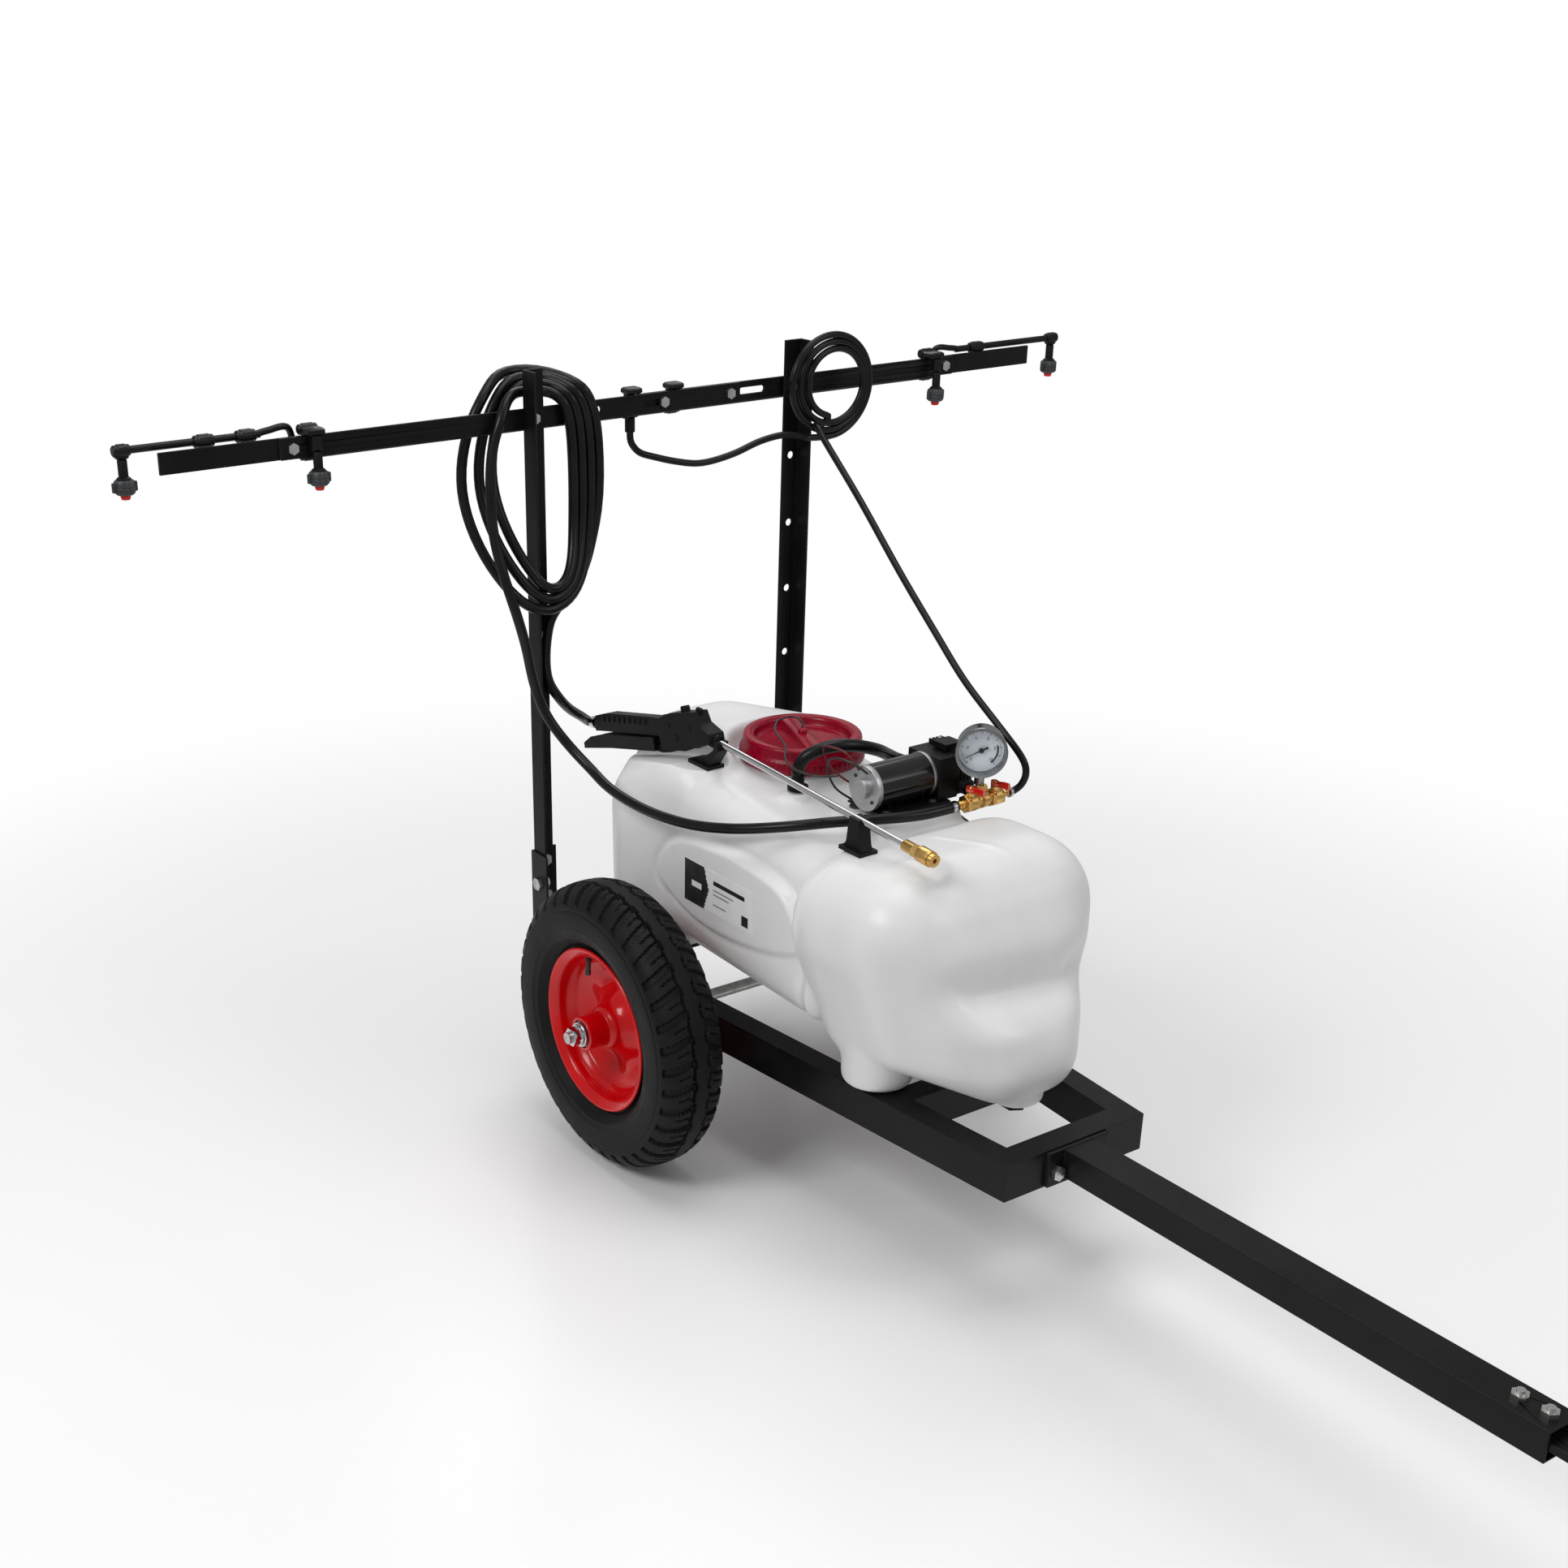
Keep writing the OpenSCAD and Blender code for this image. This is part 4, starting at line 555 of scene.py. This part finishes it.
# ------------------------------------------------------------------ gauge face with generic numbers
gp = vec(258, 121, 588); ga = math.radians(-40)
gn = vec(math.cos(ga), math.sin(ga), 0); gr = vec(-math.sin(ga), math.cos(ga), 0); gu = vec(0, 0, 1)
mb = MB()
mb.lathe([(2, -1.9), (29.1, -1.9), (29.1, -0.5), (2, -0.5)], gp, gn, 72, 0, closed=True)
def plate(cx_, cy_, w, h, rot, mi, lift=-0.42):
    c_, s2 = math.cos(rot), math.sin(rot)
    q = [(cx_ + a_ * c_ - b_ * s2, cy_ + a_ * s2 + b_ * c_) for a_, b_ in ((-w / 2, -h / 2), (w / 2, -h / 2), (w / 2, h / 2), (-w / 2, h / 2))]
    V_ = [gp + gr * p[0] + gu * p[1] + gn * (lift - 0.08) for p in q] + [gp + gr * p[0] + gu * p[1] + gn * (lift + 0.12) for p in q]
    mb.add(V_, [(0, 1, 2, 3), (7, 6, 5, 4), (0, 4, 5, 1), (1, 5, 6, 2), (2, 6, 7, 3), (3, 7, 4, 0)], mi)
for i in range(51):
    ang = math.radians(225 - 270 * i / 50); big = i % 5 == 0
    rr_ = 24.4 if big else 25.4
    plate(rr_ * math.cos(ang), rr_ * math.sin(ang), 4.2 if big else 2.2, 0.75 if big else 0.35, ang, 1)
for i in range(24):
    ang = math.radians(17 - 2.9 * i); plate(21.2 * math.cos(ang), 21.2 * math.sin(ang), 2.2, 1.2, ang, 1)
SEG = {"0": "abcdef", "1": "bc", "2": "abged", "3": "abgcd", "4": "fgbc", "5": "afgcd", "6": "afgedc", "8": "abcdefg"}
def digit(ch, cx_, cy_, h):
    w = h * 0.55
    for g in SEG[ch]:
        px_, py_, ww, hh = {"a": (0, h / 2, w, 0.5), "d": (0, -h / 2, w, 0.5), "g": (0, 0, w, 0.5), "b": (w / 2, h / 4, 0.5, h / 2), "c": (w / 2, -h / 4, 0.5, h / 2), "f": (-w / 2, h / 4, 0.5, h / 2), "e": (-w / 2, -h / 4, 0.5, h / 2)}[g]
        plate(cx_ + px_, cy_ + py_, ww, hh, 0, 1)
for i, tx in enumerate(("0", "2", "4", "6", "8", "10")):
    ang = math.radians(225 - 54 * i); cx_, cy_ = 17.5 * math.cos(ang), 17.5 * math.sin(ang)
    for j, ch in enumerate(tx): digit(ch, cx_ + (j - (len(tx) - 1) / 2) * 3.2, cy_, 3.4)
dial = mb
mb = MB()
na = math.radians(208); ca_, sa_ = math.cos(na), math.sin(na)
P2 = lambda u, w, h: gp + gr * (u * ca_ - w * sa_) + gu * (u * sa_ + w * ca_) + gn * h
out_ = [(-9.6, -1.5), (-9.6, 1.5), (-3, 1.1), (3, 0.8), (20, 0.5), (23.6, 0.1), (23.6, -0.1), (20, -0.5), (3, -0.8), (-3, -1.1)]
mb.add([P2(u, w, 2.3) for u, w in out_] + [P2(u, w, 3.4) for u, w in out_], [tuple(range(10)), tuple(range(10, 20))[::-1]] + [(i, (i + 1) % 10, 10 + (i + 1) % 10, 10 + i) for i in range(10)])
mb.lathe([(0, -8.8), (1.3, -8.8), (1.3, 2), (3.4, 2.1), (3.4, 3.6), (2.4, 4.2), (0, 4.4)], gp, gn, 32)
put(mb, "dial_pointer", "needle", ["ink"], ["gauge_needle"], "needle_black")
mb = dial
put(mb, "dial_face", "chassis", ["dial", "ink"], ["gauge_dial"], "dial_white", sharp=30)

# ------------------------------------------------------------------ spray gun
GA = [[-296, 503], [-299, 514], [-298, 525], [-267, 537], [-140.4, 565.2], [-140.4, 539], [-224, 520]]
GB = [[-150, 546], [-150, 564], [-133, 567], [-108, 581], [-53, 597], [-43, 583], [-16, 576], [-12, 566], [-38, 553], [-68, 538], [-125, 525], [-130, 541]]
mb = MB(); mb.prism([(p[0], p[1]) for p in GA], -109, -91); [mb.prism([(p[0], p[1]) for p in GB], y0, y1) for y0, y1 in ((-112.5, -107.6), (-92.4, -87.5))]
# between the side plates a pocket is left for the root of the lever
mb.prism([(-150, 559.3), (-150, 564), (-133, 567), (-108, 581), (-53, 597), (-43, 583), (-16, 576), (-12, 566), (-38, 553), (-57.6, 543.6), (-57.6, 559.3)], -107.8, -92.2)
mb.prism([(-150, 546), (-150, 559.5), (-140.4, 559.5), (-140.4, 544)], -107.8, -92.2)
mb.cyl((-30, -100, 566), (-8, -100, 564.8), 9, 32, 1.2)
for t in (-24, -18, -12): mb.ring((t, -100, 565.7 - (t + 30) * 0.054), (t + 2.4, -100, 565.6 - (t + 30) * 0.054), 9.8, 8.6)
mb.cyl((-288, -100, 514), (-303, -100, 511.2), 8, 28, 0.8)
for i in range(9):
    xx = -276 + i * 13; zz = 526 + i * 13 * 0.232
    mb.box((xx - 3.4, -110.6, zz - 4), (xx + 3.4, -89.4, zz + 5.5), 0, 1.0)
mb.cyl((-92, -113.6, 550), (-92, -86.4, 550), 5.4, 24, 0.8); mb.cyl((-62, -113.4, 572), (-62, -86.6, 572), 4.6, 24, 0.8)
mb.cyl((-110, -113.2, 562), (-110, -86.8, 562), 3.4, 20, 0.6); mb.cyl((-84, -100, 584), (-88, -100, 595), 6.5, 24, 1.2)
mb.box((-60, -103, 592), (-48, -97, 601), 0, 1.4)
put(mb, "gun_handle", "chassis", ["plastic"], ["gun_body"], "black_plastic", bevel=2.2, seg=3)
GT = [[-321, 470], [-323, 478], [-305, 492], [-277, 503], [-225, 515.5], [-146, 535], [-141, 517], [-251, 490]]
GI = [[-322, 473.4], [-323.4, 478.6], [-305, 492.6], [-277, 503.6], [-225, 516.1], [-146, 535.6], [-140.6, 520], [-251, 493.4]]
GR = [[-146, 516], [-150, 519], [-126, 534], [-104, 546], [-98, 555], [-88, 555], [-83, 548], [-90, 536], [-108, 524], [-130, 517.2]]
mb = MB()
for y0, y1 in ((-112.5, -109.4), (-90.6, -87.5)): mb.prism([(p[0], p[1]) for p in GT], y0, y1)
mb.prism([(-321, 470), (-324, 476), (-320, 474.4), (-251, 493.4), (-140.4, 520.4), (-141, 517), (-251, 490)], -111, -89)
mb.prism([(p[0], p[1]) for p in GR], -107, -93); mb.cyl((-92, -111.8, 550), (-92, -88.2, 550), 2.45, 24, 0.4)
put(mb, "gun_lever", "trigger", ["plastic"], ["gun_trigger"], "black_plastic", bevel=1.0, seg=2)

# ------------------------------------------------------------------ nozzles, spray lines, ties
def drop(mb, x, y, z, neck_to=24):
    mb.lathe([(0, neck_to), (5.4, neck_to), (6, neck_to - 1), (6, 4), (8.5, 2.5), (9, 0.5), (0, 0.5)], (x, y, z), (0, 0, 1), 28, 0)
    mb.lathe([(0, 0.6), (10, 0.6), (12, -1.5), (12.2, -7), (11.4, -8), (12.2, -9), (12, -14.5), (10, -17), (0, -17)], (x, y, z), (0, 0, 1), 48, 1, mod=lambda r, zz, a: (r + np.where(r > 10.5, 0.6 * math.cos(12 * a), 0), zz))
    for s in (-1, 1): mb.box((x - 2.2, y + s * 13.4 - 2.4, z - 14), (x + 2.2, y + s * 13.4 + 2.4, z - 2), 1, 0.8)
    mb.lathe([(0, -16.6), (6, -16.6), (6.2, -20), (5, -23), (3, -23.4), (0, -22.6)], (x, y, z), (0, 0, 1), 28, 2)
BZ, BC, FY, AL = 958.6, -28, 533, 172
ln, xa, lz = -268, -288, 958.6 + 13.3 + 5.2
mb = MB(); drop(mb, ln + 3, BC - 505, BZ - 29); drop(mb, ln + 3, BC + 505, BZ - 29); mb.cyl((-290, -52, BZ - 38), (-290, -52, BZ - 18.4), 7, 28, 1.0)
put(mb, "drop_nozzles", "chassis", ["plastic", "capgrey", "tip"], ["nozzles_inner"], "black_plastic")
for s, nm in ((-1, "right"), (1, "left")):
    mb = MB(); drop(mb, xa - 7, BC + s * (FY + AL + (57 if s > 0 else 40)), BZ - 16)
    put(mb, "end_nozzle_" + nm, "fold_" + nm, ["plastic", "capgrey", "tip"], ["nozzle_" + nm], "black_plastic")
def fitting(mb, x, y, z, hw=13, r=6.2):
    mb.lathe([(0, -hw), (r - 1.4, -hw), (r, -hw + 1.4), (r, -hw + 5), (r + 1, -hw + 6), (r + 1, hw - 6), (r, hw - 5), (r, hw - 1.4), (r - 1.4, hw), (0, hw)], (x, y, z), (0, 1, 0), 28, 0)
SLX, SLZ, LZ2 = -290.2, BZ - 13.2, lz
mb = MB()
yy = np.linspace(BC - FY + 30, BC + FY - 30, 120)
mb.sweep(np.stack([np.full(120, SLX), yy, np.full(120, SLZ)], 1), 4.7, 16)
for y0 in (BC - 505, BC + 505):
    fitting(mb, SLX, y0, LZ2 + 0.4, 13, 6.4); mb.box((SLX - 6, y0 - 12, LZ2 - 4.4), (-262, y0 + 12, LZ2 + 4.6), 0, 2); mb.box((-271.8, y0 - 7, BZ - 4), (-262, y0 + 7, LZ2 - 3.6), 0, 1.2)
for y0 in (-52, BC + 45):
    mb.box((SLX - 6, y0 - 12, LZ2 - 4.4), (-275.2, y0 + 12, LZ2 + 3.8), 0, 2)
for y0 in (BC - 505, -52, BC + 45, BC + 505):
    mb.box((SLX - 5.8, y0 - 7, SLZ - 3), (SLX + 4.4, y0 + 7, LZ2 - 3.6), 0, 1.2); fitting(mb, SLX, y0, SLZ, 12, 6)
put(mb, "spray_hose", "chassis", ["hose"], ["spray_line"], "hose_black")
for s, nm in ((-1, "right"), (1, "left")):
    mb = MB(); y0, y1 = BC + s * (FY + 34), BC + s * (FY + AL + (57 if s > 0 else 40))
    yy = np.linspace(y0, y1, 30); mb.sweep(np.stack([np.full(30, xa - 7.0), yy, np.full(30, lz)], 1), 4.7, 16)
    fitting(mb, xa - 7, y1, lz, 11, 7); mb.box((xa - 13, y1 - 8, BZ + 8.3), (xa - 1.5, y1 + 8, lz + 1), 0, 2)
    for o_ in ((40, 95) if s < 0 else (60,)):
        yc_ = BC + s * (FY + o_ + 13); fitting(mb, xa - 6, yc_, lz, 13, 7.4)
    put(mb, "arm_hose_" + nm, "fold_" + nm, ["hose"], ["line_" + nm], "hose_black")
    # short flexible link across the fold joint
    P = cr([(SLX, BC + s * (FY - 34), SLZ), (SLX - 8, BC + s * (FY - 26), SLZ + 1), (SLX - 13, BC + s * (FY - 16), SLZ + 12), (xa - 9, BC + s * (FY - 4), lz + 4), (xa - 7, BC + s * (FY + 22), lz + 3), (xa - 7, BC + s * (FY + 40), lz)], 10)
    mb = MB(); mb.sweep(P, 4.3, 14)
    lk = mb.done("fold_link_" + nm, ["hose"])
    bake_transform(lk)

# ------------------------------------------------------------------ finishes on the CAD nodes that stay shown
KEEP = dict(main_frame="frame", rail_caps="plastic", drawbar="frame", hitch_tongue="frame", frame_bolts="zinc", axle="zinc", axle_nuts="chrome", wheel_bearings="zinc",
    post_right="frame", post_left="frame", drain_plug="plastic", strainer="mesh", suction_fitting="plastic", pickup_tube="grey", pump_motor="gloss", pump_caps="silver", pump_rotor="copper",
    pump_head="plastic", pump_base="plastic", hose_clamps="chrome", gauge_case="gauge", gauge_lens="glass", boom_bar_right="frame", boom_bar_left="frame", boom_bolts="zinc",
    arm_right="frame", arm_left="frame", lance="chrome", lance_nozzle="brass", gun_clips="plastic")
BEV = dict(main_frame=1.6, drawbar=1.8, hitch_tongue=1.2, post_right=0.8, post_left=0.8, boom_bar_right=0.5, boom_bar_left=0.5, arm_right=0.5, arm_left=0.5, pump_head=1.0, pump_base=0.5,
    gun_clips=0.8, frame_bolts=0.4, boom_bolts=0.4, axle_nuts=0.5, pump_caps=0.7, gauge_case=0.6, lance_nozzle=0.4, drain_plug=0.5, rail_caps=0.4)
for n, m in KEEP.items():
    ob = NODES[n]
    ob.data.materials.clear(); ob.data.materials.append(M[m])
    for p in ob.data.polygons: p.material_index = 0
    if n in BEV:
        w = ob.modifiers.new("weld", "WELD"); w.merge_threshold = 0.00001
        bv = ob.modifiers.new("bevel", "BEVEL"); bv.width = BEV[n] * 0.001; bv.segments = 2; bv.limit_method = "ANGLE"; bv.angle_limit = math.radians(50); bv.use_clamp_overlap = True
        bv.harden_normals = False

# ------------------------------------------------------------------ stage
def area(loc, tgt, size, power, col=(1, 1, 1)):
    L = bpy.data.lights.new("area", "AREA"); L.shape = "RECTANGLE"; L.size, L.size_y = size; L.energy = power; L.color = col
    o = bpy.data.objects.new("light", L); bpy.context.scene.collection.objects.link(o); o.location = Vector(loc) + OFF
    o.rotation_euler = (Vector(tgt) - Vector(loc)).to_track_quat("-Z", "Y").to_euler(); return o
area((0.4, -2.6, 2.6), (0.1, 0, 0.4), (1.3, 1.0), 38)
area((2.6, 1.6, 2.4), (0.1, 0, 0.4), (1.2, 1.4), 15)
area((-1.8, 1.2, 2.8), (0, 0, 0.5), (1.8, 1.8), 20)
area((0.2, 0, 3.6), (0.1, 0, 0), (2.0, 2.0), 34)
w = bpy.data.worlds.new("studio"); bpy.context.scene.world = w; w.use_nodes = True
# the backdrop shows white to the camera while it lights the object softly
wt = w.node_tree; lp = wt.nodes.new("ShaderNodeLightPath"); bg2 = wt.nodes.new("ShaderNodeBackground"); bg2.inputs[0].default_value = (1, 1, 1, 1); bg2.inputs[1].default_value = 1.0
ms_ = wt.nodes.new("ShaderNodeMixShader"); wt.links.new(lp.outputs["Is Camera Ray"], ms_.inputs[0]); wt.links.new(wt.nodes["Background"].outputs[0], ms_.inputs[1]); wt.links.new(bg2.outputs[0], ms_.inputs[2])
wt.links.new(ms_.outputs[0], wt.nodes["World Output"].inputs[0])
w.node_tree.nodes["Background"].inputs[0].default_value = (1, 1, 1, 1); w.node_tree.nodes["Background"].inputs[1].default_value = 0.4
me = bpy.data.meshes.new("floor"); S = 6
me.from_pydata([(-S, -S, 0), (S, -S, 0), (S, S, 0), (-S, S, 0)], [], [(0, 1, 2, 3)])
fl = bpy.data.objects.new("studio_floor", me); bpy.context.scene.collection.objects.link(fl); fl.location = OFF
fm = mat("floor_white", (0.95, 0.95, 0.955), (0.94, 0.94, 0.945), (0.22, 0.26), vscale=2, spec=0.4)
me.materials.append(fm)
# the floor fades into the white backdrop away from the object
ft = fm.node_tree; tcn = ft.nodes.new("ShaderNodeTexCoord"); vl = ft.nodes.new("ShaderNodeVectorMath"); vl.operation = "LENGTH"; ft.links.new(tcn.outputs["Object"], vl.inputs[0])
fr = ft.nodes.new("ShaderNodeMapRange"); fr.interpolation_type = "SMOOTHSTEP"; fr.inputs["From Min"].default_value = 0.7; fr.inputs["From Max"].default_value = 2.1; fr.inputs["To Min"].default_value = 1; fr.inputs["To Max"].default_value = 0
ft.links.new(vl.outputs["Value"], fr.inputs["Value"])
for nd in ft.nodes:
    if nd.type == "BSDF_PRINCIPLED": ft.links.new(fr.outputs[0], nd.inputs["Alpha"])
cam = bpy.data.cameras.new("cam"); cam.lens = 48.172; cam.sensor_width = 36; cam.shift_x = 0.09003; cam.shift_y = 0.13470; cam.clip_end = 200
co = bpy.data.objects.new("camera", cam); bpy.context.scene.collection.objects.link(co)
R = Matrix(((0.56215875, -0.36135566, 0.74390834), (0.82702848, 0.24692815, -0.50502514), (-0.00119822, 0.89913768, 0.43766424)))
co.matrix_world = Matrix.Translation(Vector((2.12828, -1.67361, 1.48294)) + OFF) @ R.to_4x4()
bpy.context.scene.camera = co
bpy.context.scene.view_settings.view_transform = "Standard"
